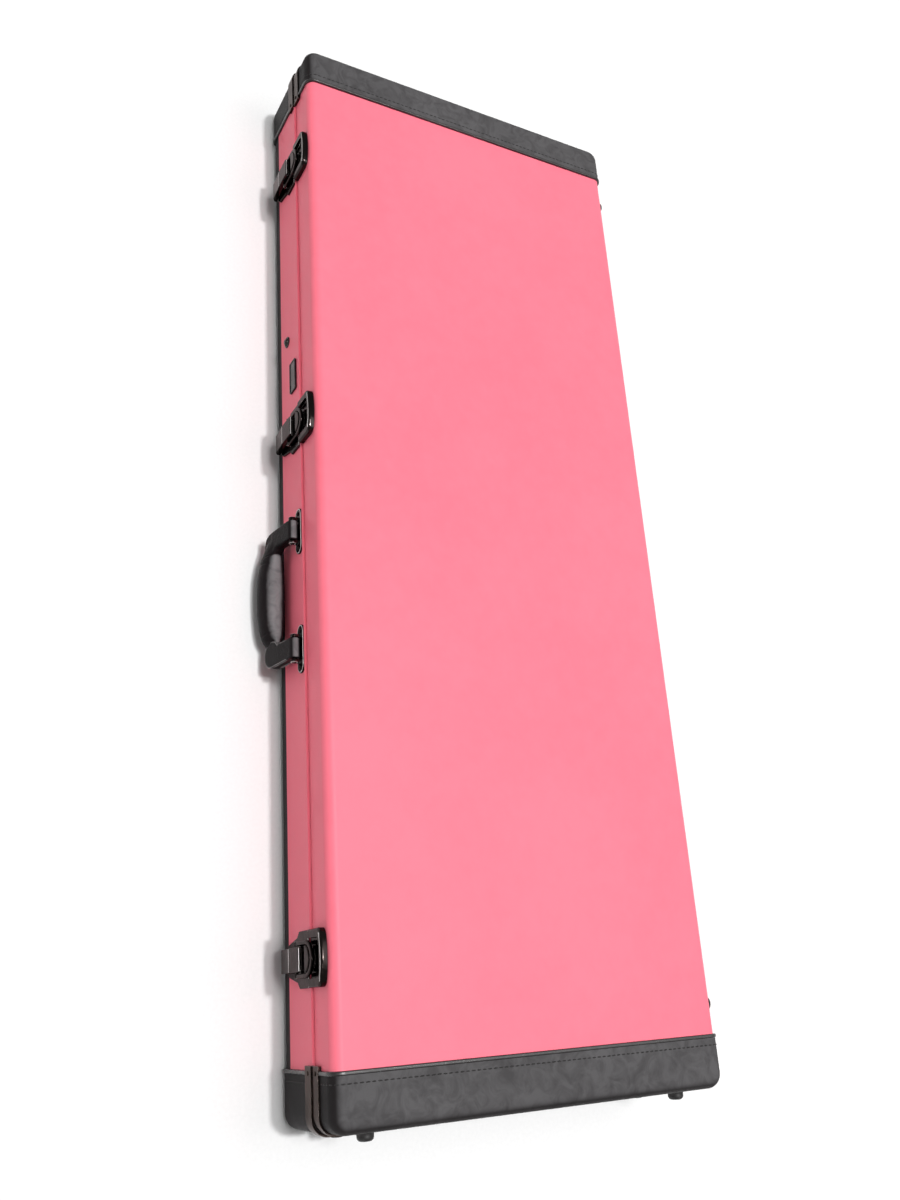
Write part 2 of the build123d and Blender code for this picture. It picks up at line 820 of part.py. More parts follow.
base_feet = feet(0.0, leather, base_foot_height, base_foot_height)
keep(base_feet, "base_feet")
lid_feet = feet(-lid_inset, leather - lid_inset, lid_side_foot_height, lid_end_foot_height)
keep(lid_feet, "lid_feet")


# Butt hinges: five knuckles, three on the base leaf and two on the lid leaf
def hinge_leaf(x, seat, z_edge, z_far, knuckles):
    """One leaf with its knuckles, on the hinge side at a given seat distance."""
    knuckle = hinge_length / knuckle_count
    z_low, z_high = sorted((z_edge, z_far))
    with BuildPart() as leaf:
        with BuildSketch(Plane(origin=(x, back_y + seat, 0), x_dir=(-1, 0, 0), z_dir=(0, 1, 0))):
            with Locations((0, (z_low + z_high) / 2)):
                RectangleRounded(hinge_length, z_high - z_low, leaf_corner)
        extrude(amount=hinge_leaf_thickness)
        fillet(leaf.faces().sort_by(Axis.Y)[-1].edges(), leaf_edge_round)
        for index in knuckles:
            middle = x - hinge_length / 2 + knuckle * (index + 0.5)
            with BuildSketch(back_section(middle)):
                with Locations((hinge_axis_out, hinge_axis_height)):
                    Circle(hinge_barrel_radius)
                with BuildLine():
                    Polyline(
                        (seat, z_edge),
                        (seat + hinge_leaf_thickness, z_edge),
                        (hinge_axis_out + hinge_barrel_radius * 0.6, hinge_axis_height),
                        (seat, hinge_axis_height),
                        close=True,
                    )
                make_face()
            extrude(amount=(knuckle - hinge_knuckle_gap) / 2, both=True)
        for index in range(knuckle_count):
            if index in knuckles:
                continue
            middle = x - hinge_length / 2 + knuckle * (index + 0.5)
            with BuildSketch(back_section(middle)):
                with Locations((hinge_axis_out, hinge_axis_height)):
                    Circle(hinge_barrel_radius + hinge_knuckle_gap)
            extrude(amount=knuckle / 2, both=True, mode=Mode.SUBTRACT)
        with BuildSketch(back_section(x)):
            with Locations((hinge_axis_out, hinge_axis_height)):
                Circle(hinge_pin_radius + running_clearance)
        extrude(amount=hinge_length, both=True, mode=Mode.SUBTRACT)
    return leaf


for number, x in enumerate(hinge_places, start=1):
    base_leaf = hinge_leaf(x, 0.0, base_height - hinge_leaf_gap, base_height - hinge_leaf_drop, (0, 2, 4))
    keep(base_leaf, f"hinge_base_leaf_{number}")
    lid_leaf = hinge_leaf(x, -lid_inset, lid_bottom + hinge_leaf_gap, lid_bottom + hinge_leaf_rise, (1, 3))
    keep(lid_leaf, f"hinge_lid_leaf_{number}")

with BuildPart() as hinge_pins:
    for x in hinge_places:
        with BuildSketch(back_section(x)):
            with Locations((hinge_axis_out, hinge_axis_height)):
                Circle(hinge_pin_radius)
        extrude(amount=hinge_length / 2 + hinge_pin_proud, both=True)
keep(hinge_pins, "hinge_pins")


def hinge_screws(seat, height):
    """Domed screw heads, three on each leaf at one level."""
    centres = [(-(x + step * hinge_screw_spread), height) for x in hinge_places for step in (-1, 0, 1)]
    out = seat + hinge_leaf_thickness
    plane = Plane(origin=(0, back_y + out, 0), x_dir=(-1, 0, 0), z_dir=(0, 1, 0))
    return rivet_row(centres, plane, hinge_screw_radius, hinge_screw_height)


base_hinge_screws = hinge_screws(0.0, base_height - hinge_leaf_drop * base_screw_share)
keep(base_hinge_screws, "base_hinge_screws")
lid_hinge_screws = hinge_screws(-lid_inset, lid_bottom + hinge_leaf_rise * lid_screw_share)
keep(lid_hinge_screws, "lid_hinge_screws")

# Plush lining of the base: floor and sides in one tray
with BuildPart() as base_lining:
    with BuildSketch(Plane.XY.offset(back_thickness)):
        RectangleRounded(case_length - 2 * wall, case_width - 2 * wall, corner_radius - wall)
    extrude(amount=base_height - lining_drop - back_thickness)
    with BuildSketch(Plane.XY.offset(pad_bottom)):
        Rectangle(2 * inner_x, 2 * inner_y)
    extrude(amount=base_height, mode=Mode.SUBTRACT)
keep(base_lining, "base_lining")

# Body cradle: foam block with a well for the body of the guitar
well_end = pad_x - well_margin
well_start = well_end - well_length
well_bottom = pad_bottom + pad_floor
with BuildPart() as body_cradle:
    with BuildSketch(Plane.XY.offset(pad_bottom)):
        with Locations(((cradle_start + pad_x) / 2, 0)):
            RectangleRounded(pad_x - cradle_start, 2 * pad_y, block_corner)
    extrude(amount=pad_top - pad_bottom)
    with BuildSketch(Plane.XY.offset(well_bottom)):
        with BuildLine():
            upper = Spline(
                (well_start, 0),
                (well_start + well_length * 0.03, upper_bout * 0.31),
                (well_start + well_length * 0.12, upper_bout * 0.44),
                (well_start + well_length * 0.24, upper_bout / 2),
                (well_start + well_length * 0.46, waist / 2),
                (well_start + well_length * 0.72, lower_bout / 2),
                (well_start + well_length * 0.90, lower_bout * 0.39),
                (well_start + well_length * 0.98, lower_bout * 0.20),
                (well_end, 0),
                tangents=((0, 1), (0, -1)),
            )
            mirror(upper, about=Plane.XZ)
        make_face()
        slot_end = well_start + neck_slot / 2
        with Locations(((cradle_start - room + slot_end) / 2, 0)):
            Rectangle(slot_end - cradle_start + room, neck_slot)
    extrude(amount=pad_top, mode=Mode.SUBTRACT)
keep(body_cradle, "body_cradle")

# Neck side pad: filler block between the neck and the hinge side
side_start = divide_start
side_end = cradle_start - pad_clearance
with BuildPart() as neck_side_pad:
    with BuildSketch(Plane.XY.offset(pad_bottom)):
        with Locations(((side_start + side_end) / 2, (neck_slot / 2 + pad_y) / 2)):
            RectangleRounded(side_end - side_start, pad_y - neck_slot / 2, block_corner)
    extrude(amount=pad_top - pad_bottom)
    fillet(neck_side_pad.faces().sort_by(Axis.Z)[-1].edges(), side_pad_round)
keep(neck_side_pad, "neck_side_pad")

# Neck rest: block with a round groove
with BuildPart() as neck_rest:
    with BuildSketch(Plane.XY.offset(pad_bottom)):
        with Locations((divide_start + neck_rest_length / 2, 0)):
            Rectangle(neck_rest_length, neck_slot - 2 * pad_clearance)
    extrude(amount=neck_rest_top - pad_bottom)
    groove_plane = Plane(origin=(divide_start, 0, neck_rest_top), x_dir=(0, 1, 0), z_dir=(1, 0, 0))
    with BuildSketch(groove_plane):
        Circle(neck_rest_groove)
    extrude(amount=neck_rest_length, mode=Mode.SUBTRACT)
keep(neck_rest, "neck_rest")

# Head cradle: U-shaped block with room for the head of the guitar
head_end = divide_start - pad_clearance
with BuildPart() as head_cradle:
    with BuildSketch(Plane.XY.offset(pad_bottom)):
        with Locations(((head_end - pad_x) / 2, 0)):
            RectangleRounded(head_end + pad_x, 2 * pad_y, block_corner)
    extrude(amount=pad_top - pad_bottom)
    with BuildSketch(Plane.XY.offset(well_bottom)):
        with Locations((head_end - head_well_length / 2 + room / 2, 0)):
            RectangleRounded(head_well_length + room, head_well_width, pad_corner)
    extrude(amount=pad_top, mode=Mode.SUBTRACT)
keep(head_cradle, "head_cradle")

# Accessory box beside the neck, on the handle side
box_y_high = -neck_slot / 2 - pad_clearance
with BuildPart() as accessory_box:
    with BuildSketch(Plane.XY.offset(pad_bottom)):
        with Locations(((side_start + side_end) / 2, (box_y_high - pad_y) / 2)):
            Rectangle(side_end - side_start, pad_y + box_y_high)
    extrude(amount=box_top - pad_bottom)
    with BuildSketch(Plane.XY.offset(pad_bottom + lining_floor)):
        with Locations(((side_start + side_end) / 2, (box_y_high - pad_y) / 2)):
            Rectangle(side_end - side_start - 2 * box_wall, pad_y + box_y_high - 2 * box_wall)
    extrude(amount=box_top, mode=Mode.SUBTRACT)
keep(accessory_box, "accessory_box")

# Accessory lid: padded board that turns on its rounded edge beside the neck
box_lid_bottom = box_top + box_lid_gap
box_hinge_y = box_y_high - box_lid_thickness / 2
box_hinge_height = box_lid_bottom + box_lid_thickness / 2
box_lid_length = side_end - side_start - 2 * box_lid_clearance
box_lid_front = -pad_y + box_lid_clearance
with BuildPart() as accessory_lid:
    board_plane = Plane(
        origin=((side_start + side_end) / 2, 0, 0), x_dir=(0, 1, 0), z_dir=(1, 0, 0)
    )
    with BuildSketch(board_plane):
        with Locations(((box_lid_front + box_hinge_y) / 2, box_hinge_height)):
            Rectangle(box_hinge_y - box_lid_front, box_lid_thickness)
        with Locations((box_hinge_y, box_hinge_height)):
            Circle(box_lid_thickness / 2)
    extrude(amount=box_lid_length / 2, both=True)
keep(accessory_lid, "accessory_lid")

with BuildPart() as pull_tab:
    with BuildSketch(Plane.XY.offset(box_lid_bottom + box_lid_thickness)):
        with Locations(((side_start + side_end) / 2, box_lid_front + tab_length / 2 + tab_inset)):
            RectangleRounded(tab_width, tab_length, tab_corner)
    extrude(amount=tab_thickness)
keep(pull_tab, "pull_tab")

# Lid pad: cushion under the top panel
lid_pad_x = end_x - lid_inset - lid_wall - pad_clearance
lid_pad_y = case_width / 2 - lid_inset - lid_wall - pad_clearance
lid_inner_top = lid_bottom + lid_height - lid_top
with BuildPart() as lid_pad:
    with BuildSketch(Plane.XY.offset(lid_inner_top - lid_pad_thickness)):
        RectangleRounded(2 * lid_pad_x, 2 * lid_pad_y, corner_radius)
    extrude(amount=lid_pad_thickness)
    fillet(lid_pad.faces().sort_by(Axis.Z)[0].edges(), lid_pad_round)
keep(lid_pad, "lid_pad")
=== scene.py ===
import json
import math

import bmesh
import bpy
import numpy as np
from mathutils import Matrix, Vector, noise


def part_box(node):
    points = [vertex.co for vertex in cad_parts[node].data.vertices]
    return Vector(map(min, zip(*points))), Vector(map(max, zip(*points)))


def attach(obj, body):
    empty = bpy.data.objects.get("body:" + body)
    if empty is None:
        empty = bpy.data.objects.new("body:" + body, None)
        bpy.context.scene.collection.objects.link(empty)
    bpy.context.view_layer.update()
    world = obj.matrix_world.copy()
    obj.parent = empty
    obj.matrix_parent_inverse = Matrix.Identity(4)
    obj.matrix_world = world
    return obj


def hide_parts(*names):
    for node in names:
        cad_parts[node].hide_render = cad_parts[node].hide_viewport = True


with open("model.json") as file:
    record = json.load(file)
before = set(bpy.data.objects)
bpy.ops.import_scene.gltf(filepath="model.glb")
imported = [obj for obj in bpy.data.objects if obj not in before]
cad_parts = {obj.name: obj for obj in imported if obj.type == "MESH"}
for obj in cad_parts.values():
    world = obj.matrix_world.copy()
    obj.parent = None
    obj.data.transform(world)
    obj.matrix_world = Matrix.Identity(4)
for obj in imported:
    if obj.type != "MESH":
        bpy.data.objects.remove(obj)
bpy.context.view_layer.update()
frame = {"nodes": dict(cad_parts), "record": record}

# Sizes of the case in millimetres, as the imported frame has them
MM = 0.001
SIDE = 192.5
END = 535.0
LID_SIDE = 191.3
LID_END = 533.8
TOP = 106.0
BASE_TOP = 69.0
LID_BOTTOM = 69.8
LID_ROUND = 9.0
LEATHER = 1.6
GUARD_OUT = LEATHER + 1.5
GUARD_START = 485.5
GUARD_WRAP = 26.0
GUARD_NAIL_INSET = 5.5
GUARD_NAIL_LEVELS = (63.0, 75.8)

# Handle: the pins, the middle of the grip and the round paddles of the straps
PIN_OUT = 7.2
PIN_HEIGHT = 59.0
GRIP_OUT = 14.2
GRIP_HEIGHT = 16.5
BRACKET_X = (19.5, 136.0)
BRACKET_LEVEL = 60.0
BRACKET_THICK = 1.8
BRACKET_RIVET_SPREAD = 17.5
LUG_REACH = 12.9
PADDLE_X = 133.4
PADDLE_DROP = 33.0
PADDLE_RADIUS = 12.5
STRAP_HALF = 9.5
STRAP_THICK = 5.4

# Latches: places along the case, the catch on the lid, the plate and the lever
LATCH_X = (-405.0, -91.0, 404.5)
CATCH_TOP = 101.0
CATCH_OUT = 4.6
CATCH_HALF = 22.8
CATCH_BOW = 4.0
CATCH_FLOOR = 1.0
CATCH_RIVET_DROP = 9.2
CATCH_RIVET_SPREAD = 9.5
PLATE_TOP = 68.0
PLATE_OUT = 2.5
PLATE_RIVET_LEVELS = (25.0, 38.0)
LEVER_HALF = 9.75
LEVER_EDGES = ((8.8, 62.62), (9.65, 41.0))

# Hinges
HINGE_X = (-330.0, 0.0, 330.0)
HINGE_LEAF = 1.5
HINGE_SCREW_SPREAD = 20.0
HINGE_SCREW_LEVELS = (BASE_TOP - 24.0 * 0.68, LID_BOTTOM + 22.0 * 0.7)

# Stud, badge plate and feet
STUD_PLACE = (-204.0, -SIDE, 35.0)
BADGE_PLACE = (-154.5, -SIDE, 51.0)
BADGE_SIZE = (35.0, 15.5)
BADGE_CORNER = 2.0
SIDE_FOOT_X = (-462.0, 463.0)
END_FOOT_Y = (-155.0, 155.0)
BASE_FOOT_LEVEL = 22.0
LID_SIDE_FOOT_LEVEL = 89.3
LID_END_FOOT_LEVEL = 80.0
FOOT_SCREW_SEAT = 4.3


# Materials


class Shader:
    """Builds one material from named nodes."""

    def __init__(self, name):
        self.material = bpy.data.materials.new(name)
        self.material.use_nodes = True
        self.tree = self.material.node_tree
        self.tree.nodes.clear()
        self.coords = self.add("ShaderNodeTexCoord").outputs["Object"]

    def add(self, kind, inputs=None, **settings):
        node = self.tree.nodes.new(kind)
        for key, value in settings.items():
            setattr(node, key, value)
        for key, value in (inputs or {}).items():
            if isinstance(value, bpy.types.NodeSocket):
                self.tree.links.new(value, node.inputs[key])
            else:
                node.inputs[key].default_value = value
        return node

    def upward(self):
        """How far the surface faces up in the piece's own frame, from -1 to 1."""
        facing = self.add("ShaderNodeTexCoord").outputs["Normal"]
        return self.add("ShaderNodeSeparateXYZ", {"Vector": facing}).outputs["Z"]

    def edges(self, radius):
        """The normal rounded over a radius in metres, and how far it leaves the flat face."""
        rounded = self.add("ShaderNodeBevel", {"Radius": radius}, samples=6).outputs["Normal"]
        flat = self.add("ShaderNodeNewGeometry").outputs["True Normal"]
        along = self.add("ShaderNodeVectorMath", {0: rounded, 1: flat}, operation="DOT_PRODUCT")
        return rounded, self.maths("SUBTRACT", 1.0, along.outputs["Value"])

    def stretched(self, x, y, z):
        return self.add("ShaderNodeMapping", {"Vector": self.coords, "Scale": (x, y, z)}).outputs[0]

    def noise(self, scale, detail=3.0, rough=0.55, vector=None, distortion=0.0):
        node = self.add(
            "ShaderNodeTexNoise",
            {"Vector": vector or self.coords, "Scale": scale, "Detail": detail, "Roughness": rough,
             "Distortion": distortion},
        )
        return node.outputs["Fac"]

    def cells(self, scale, feature="DISTANCE_TO_EDGE", vector=None, randomness=1.0):
        node = self.add(
            "ShaderNodeTexVoronoi",
            {"Vector": vector or self.coords, "Scale": scale, "Randomness": randomness},
            feature=feature,
        )
        return node.outputs["Distance"]

    def span(self, value, low, high, to_low=0.0, to_high=1.0, smooth=False):
        node = self.add(
            "ShaderNodeMapRange",
            {"Value": value, "From Min": low, "From Max": high, "To Min": to_low, "To Max": to_high},
            interpolation_type="SMOOTHSTEP" if smooth else "LINEAR",
            clamp=True,
        )
        return node.outputs["Result"]

    def maths(self, operation, a, b=0.0, c=0.0):
        return self.add("ShaderNodeMath", {0: a, 1: b, 2: c}, operation=operation).outputs[0]

    def mix(self, factor, a, b):
        node = self.add("ShaderNodeMix", data_type="RGBA")
        for index, value in ((0, factor), (6, a), (7, b)):
            socket = node.inputs[index]
            if isinstance(value, bpy.types.NodeSocket):
                self.tree.links.new(value, socket)
            elif index == 0:
                socket.default_value = value
            else:
                socket.default_value = (*value, 1.0)
        return node.outputs[2]

    def bump(self, height, strength, distance, normal=None):
        inputs = {"Height": height, "Strength": strength, "Distance": distance}
        if normal is not None:
            inputs["Normal"] = normal
        return self.add("ShaderNodeBump", inputs).outputs["Normal"]

    def finish(self, colour, roughness, **more):
        shader = self.add("ShaderNodeBsdfPrincipled")
        values = {"Base Color": colour, "Roughness": roughness, **more}
        for key, value in values.items():
            socket = shader.inputs[key]
            if isinstance(value, bpy.types.NodeSocket):
                self.tree.links.new(value, socket)
            elif isinstance(value, tuple) and len(value) == 3:
                socket.default_value = (*value, 1.0)
            else:
                socket.default_value = value
        output = self.add("ShaderNodeOutputMaterial")
        self.tree.links.new(shader.outputs[0], output.inputs[0])
        return self.material


def vinyl(name, colour, darker, roughness=0.42):
    """Grained vinyl covering: pebbled bump, faint mottling and a few light scuffs."""
    s = Shader(name)
    pebble = s.cells(950.0, "SMOOTH_F1")
    fine = s.noise(2600.0, 2.0)
    broad = s.noise(6.0, 4.0)
    mottle = s.noise(70.0, 4.0)
    tone = s.maths("MULTIPLY_ADD", mottle, 0.35, s.maths("MULTIPLY", broad, 0.65))
    shade = s.mix(s.span(tone, 0.38, 0.62), darker, colour)
    scuff = s.span(s.noise(38.0, 6.0, 0.7), 0.70, 0.80)
    rough = s.maths("MULTIPLY_ADD", scuff, 0.12, s.span(mottle, 0.3, 0.7, roughness - 0.04, roughness + 0.05))
    grain = s.bump(pebble, 0.22, 0.0003)
    normal = s.bump(fine, 0.10, 0.0002, grain)
    return s.finish(shade, rough, **{"Normal": normal, "Specular IOR Level": 0.12})


def leather(name, colour, lighter, roughness=0.46, crease=0.35, gloss=0.06, dust_and_sheen=(0.098, 0.095, 0.098)):
    """Smooth black leather: fine cells, soft creases, dull patches and a lighter colour where it faces up, a
    painted sheen.
    """
    s = Shader(name)
    cell = s.cells(1100.0)
    wrinkle = s.noise(55.0, 5.0, 0.6, distortion=1.4)
    lines = s.span(s.maths("ABSOLUTE", s.maths("SUBTRACT", wrinkle, 0.5)), 0.0, 0.04, smooth=True)
    broad = s.noise(11.0, 4.0)
    bare = s.mix(s.span(broad, 0.35, 0.68), colour, lighter)
    patches = s.maths("MULTIPLY", s.span(broad, 0.2, 0.7, 0.75, 1.0), s.span(wrinkle, 0.35, 0.6, 0.6, 1.0))
    # Upward faces take the lighter colour given last: a painted sheen from the light above.
    painted_sheen = s.maths("MULTIPLY", s.span(s.upward(), 0.70, 1.0, smooth=True), patches)
    shade = s.mix(painted_sheen, bare, dust_and_sheen)
    rough = s.span(s.noise(24.0, 4.0), 0.3, 0.7, roughness - 0.07, roughness + 0.08)
    pores = s.bump(s.span(cell, 0.0, 0.12), 0.16, 0.0002)
    normal = s.bump(lines, crease * 0.3, 0.0004, pores)
    return s.finish(shade, rough, **{"Normal": normal, "Specular IOR Level": gloss})


def metal(name, colour, stain, worn_edge, roughness=0.2, scratch=0.3):
    """Plated metal: fine scratches, smears in the plating, darker stains and edges rubbed bright."""
    s = Shader(name)
    rounded, edge = s.edges(0.0006)
    hair = s.noise(420.0, 4.0, 0.7, s.stretched(1.0, 1.0, 14.0))
    smear = s.noise(60.0, 4.0)
    pits = s.cells(700.0, "F1")
    plated = s.mix(s.span(smear, 0.35, 0.7), colour, stain)
    rubbed = s.maths("MULTIPLY", s.span(edge, 0.05, 0.2), s.span(s.noise(90.0, 3.0), 0.35, 0.6, 0.35, 1.0))
    shade = s.mix(rubbed, plated, worn_edge)
    polish = s.span(smear, 0.3, 0.7, roughness - 0.03, roughness + 0.05)
    rough = s.maths("MULTIPLY_ADD", s.span(hair, 0.45, 0.75), 0.08, polish)
    worn = s.bump(hair, scratch * 0.12, 0.0001, rounded)
    pressed = s.bump(s.noise(130.0, 2.0), 0.35, 0.0006, worn)
    normal = s.bump(s.span(pits, 0.0, 0.12), 0.06, 0.0001, pressed)
    return s.finish(shade, rough, **{"Metallic": 1.0, "Normal": normal, "Specular Tint": (0.7, 0.68, 0.68)})


def paint(name, colour, lighter, roughness=0.35):
    """Dark lacquered metal with fine speckle and rubbed patches."""
    s = Shader(name)
    speck = s.noise(900.0, 3.0)
    rub = s.span(s.noise(120.0, 5.0), 0.55, 0.75)
    shade = s.mix(rub, colour, lighter)
    rough = s.span(s.noise(80.0, 3.0), 0.3, 0.7, roughness - 0.06, roughness + 0.08)
    return s.finish(shade, rough, **{"Metallic": 0.55, "Normal": s.bump(speck, 0.08, 0.0001)})


def rubber(name, colour, dusty):
    """Moulded rubber: fine stipple and dusty patches."""
    s = Shader(name)
    stipple = s.noise(1500.0, 2.0)
    dust_and_sheen = s.span(s.noise(150.0, 4.0), 0.5, 0.75)
    shade = s.mix(dust_and_sheen, colour, dusty)
    return s.finish(shade, s.span(dust_and_sheen, 0.0, 1.0, 0.55, 0.75), Normal=s.bump(stipple, 0.2, 0.0002))


def plush(name, colour, lighter):
    """Short pile plush: brushed patches, fibres and a soft sheen."""
    s = Shader(name)
    swirl = s.noise(26.0, 4.0, 0.6, distortion=1.2)
    fibre = s.noise(1900.0, 3.0, 0.7)
    tuft = s.noise(420.0, 3.0)
    brushed = s.mix(s.span(swirl, 0.35, 0.65), colour, lighter)
    shade = s.mix(s.span(fibre, 0.4, 0.8, 0.0, 0.5), brushed, lighter)
    coarse = s.bump(tuft, 0.45, 0.0012)
    normal = s.bump(fibre, 0.6, 0.0006, coarse)
    return s.finish(
        shade, s.span(swirl, 0.3, 0.7, 0.82, 0.98),
        **{"Normal": normal, "Sheen Weight": 0.55, "Sheen Roughness": 0.45, "Sheen Tint": (0.5, 0.47, 0.5)},
    )


def thread(name, colour):
    """Twisted sewing thread."""
    s = Shader(name)
    wave = s.add("ShaderNodeTexWave", {"Vector": s.coords, "Scale": 900.0, "Distortion": 1.0},
                 bands_direction="DIAGONAL")
    ply = wave.outputs["Fac"]
    shade = s.mix(ply, tuple(c * 0.55 for c in colour), colour)
    return s.finish(shade, s.span(ply, 0.0, 1.0, 0.7, 0.5), Normal=s.bump(ply, 0.5, 0.0002))


def floor_paper(name):
    """Pale seamless paper."""
    s = Shader(name)
    fibre = s.noise(300.0, 4.0)
    shade = s.mix(s.span(fibre, 0.3, 0.7), (0.77, 0.77, 0.77), (0.80, 0.80, 0.80))
    return s.finish(shade, s.span(fibre, 0.0, 1.0, 0.82, 0.95), **{"Specular IOR Level": 0.15})


# For each leather the last colour is the lighter colour painted on its upward faces: a painted sheen.
M = {
    "pink_vinyl": vinyl("pink_vinyl", (0.93, 0.194, 0.260), (0.90, 0.178, 0.242)),
    "black_vinyl": vinyl("black_vinyl", (0.018, 0.016, 0.017), (0.012, 0.011, 0.012), 0.5),
    "leather": leather("leather", (0.015, 0.013, 0.0135), (0.024, 0.021, 0.022)),
    "grip_leather": leather(
        "grip_leather", (0.010, 0.008, 0.0085), (0.014, 0.011, 0.012), 0.32, 0.7, 0.05, (0.19, 0.185, 0.19)
    ),
    "piping": leather(
        "piping", (0.018, 0.016, 0.016), (0.030, 0.027, 0.027), 0.24, 0.2, 0.6, (0.05, 0.048, 0.048)
    ),
    # Lighter grey edge paint: partly the real painted leather edge, partly a painted highlight along the
    # paddle's rims.
    "edge_paint": leather(
        "edge_paint", (0.10, 0.094, 0.094), (0.16, 0.15, 0.15), 0.22, 0.1, 0.6, (0.2, 0.19, 0.19)
    ),
    "bronze_metal": metal(
        "bronze_metal", (0.070, 0.052, 0.046), (0.035, 0.026, 0.022), (0.42, 0.38, 0.36), 0.2
    ),
    "dark_nickel": metal(
        "dark_nickel", (0.040, 0.032, 0.031), (0.022, 0.017, 0.016), (0.66, 0.62, 0.61), 0.12
    ),
    "worn_nickel": metal(
        "worn_nickel", (0.88, 0.85, 0.84), (0.66, 0.63, 0.62), (0.95, 0.93, 0.92), 0.46
    ),
    "stud_metal": paint("stud_metal", (0.03, 0.028, 0.028), (0.12, 0.12, 0.12), 0.2),
    "badge_metal": paint("badge_metal", (0.022, 0.016, 0.017), (0.05, 0.042, 0.042), 0.28),
    "foot_rubber": rubber("foot_rubber", (0.012, 0.011, 0.011), (0.045, 0.043, 0.043)),
    "plush": plush("plush", (0.012, 0.010, 0.012), (0.035, 0.031, 0.034)),
    "thread": thread("thread", (0.02, 0.018, 0.018)),
}
slots = {entry["node"]: entry["material_slot"] for entry in frame["record"]["subparts"]}
for name, node in frame["nodes"].items():
    node.data.materials.clear()
    node.data.materials.append(M[slots[name]])


# Stage, lights and camera


def link(obj):
    bpy.context.scene.collection.objects.link(obj)
    return obj


def mesh_object(name, points, faces, material, smooth=True):
    """A mesh from points in metres."""
    mesh = bpy.data.meshes.new(name)
    mesh.from_pydata([tuple(p) for p in points], [], faces)
    mesh.materials.append(material)
    mesh.validate()
    for polygon in mesh.polygons:
        polygon.use_smooth = smooth
    return link(bpy.data.objects.new(name, mesh))


FLOOR = 6.0
floor = mesh_object(
    "floor", [(-FLOOR, -FLOOR, 0), (FLOOR, -FLOOR, 0), (FLOOR, FLOOR, 0), (-FLOOR, FLOOR, 0)], [(0, 1, 2, 3)],
    floor_paper("floor_paper"), False,
)

world = bpy.data.worlds.new("studio")
bpy.context.scene.world = world
world.use_nodes = True
world.node_tree.nodes["Background"].inputs["Color"].default_value = (1.0, 0.99, 0.985, 1.0)
world.node_tree.nodes["Background"].inputs["Strength"].default_value = 0.24


def light(name, kind, place, target, energy, **settings):
    data = bpy.data.lights.new(name, kind)
    data.energy = energy
    for key, value in settings.items():
        setattr(data, key, value)
    obj = link(bpy.data.objects.new(name, data))
    obj.location = place
    obj.rotation_euler = (Vector(target) - Vector(place)).to_track_quat("-Z", "Y").to_euler()
    return obj


light("key", "SUN", (-0.10, 0.31, 2.5), (0, 0, 0), 1.75, angle=math.radians(3.5))
light("soft_key", "SUN", (-0.15, -0.03, 2.5), (0, 0, 0), 1.2, angle=math.radians(10))
light("overhead_box", "AREA", (0.05, 1.6, 3.4), (0, 0, 0), 26.0, shape="SQUARE", size=2.0)
light("strip", "SUN", (0.4, -1.2, 2.2), (0, 0, 0), 0.15, angle=math.radians(3))

# The camera stands where the case's corners and edges fall as they do in the photograph
CAMERA_PLACE = (0.43706, -0.53285, 0.94456)
look = Vector((-0.3395, 0.4614, -0.8197)).normalized()
up = Vector((-0.9385, -0.1070, 0.3284))
up = (up - look * up.dot(look)).normalized()
right = look.cross(up)
FOCAL_PIXELS = 1082.2
PHOTO_HEIGHT = 1200.0
camera_data = bpy.data.cameras.new("camera")
camera_data.sensor_fit = "VERTICAL"
camera_data.sensor_height = 36.0
camera_data.lens = camera_data.sensor_height * FOCAL_PIXELS / PHOTO_HEIGHT
camera_data.clip_start = 0.01
camera = link(bpy.data.objects.new("camera", camera_data))
camera.matrix_world = Matrix(
    (
        (right.x, up.x, -look.x, CAMERA_PLACE[0]),
        (right.y, up.y, -look.y, CAMERA_PLACE[1]),
        (right.z, up.z, -look.z, CAMERA_PLACE[2]),
        (0, 0, 0, 1),
    )
)
bpy.context.scene.camera = camera
bpy.context.scene.view_settings.view_transform = "Standard"


# Shared mesh tools


def settle(obj):
    """Make the result of the modifiers the piece's own mesh."""
    depsgraph = bpy.context.evaluated_depsgraph_get()
    depsgraph.update()
    mesh = bpy.data.meshes.new_from_object(obj.evaluated_get(depsgraph))
    mesh.name = obj.name
    obj.modifiers.clear()
    obj.data = mesh
    return obj


def smooth_faces(obj):
    for polygon in obj.data.polygons:
        polygon.use_smooth = True
    return obj


def coat(piece, material):
    """Give a piece one material."""
    piece.data.materials.clear()
    piece.data.materials.append(material)


def add_skin(piece, voxel):
    """Wrap a piece in one skin with faces of a size in millimetres."""
    skin = piece.modifiers.new("skin", "REMESH")
    skin.mode = "VOXEL"
    skin.voxel_size = voxel * MM


def add_ease(piece, rounds, factor=0.5, group=""):
    """Smooth a skin in rounds, more where a group of its points weighs more."""
    ease = piece.modifiers.new("ease", "SMOOTH")
    ease.factor = factor
    ease.iterations = rounds
    ease.vertex_group = group


def copy_of(name, *nodes):
    """A closed mesh from copies of CAD nodes, with their doubled points merged."""
    bm = bmesh.new()
    for node in nodes:
        bm.from_mesh(frame["nodes"][node].data)
    bmesh.ops.remove_doubles(bm, verts=bm.verts, dist=1e-6)
    mesh = bpy.data.meshes.new(name)
    bm.to_mesh(mesh)
    bm.free()
    return link(bpy.data.objects.new(name, mesh))


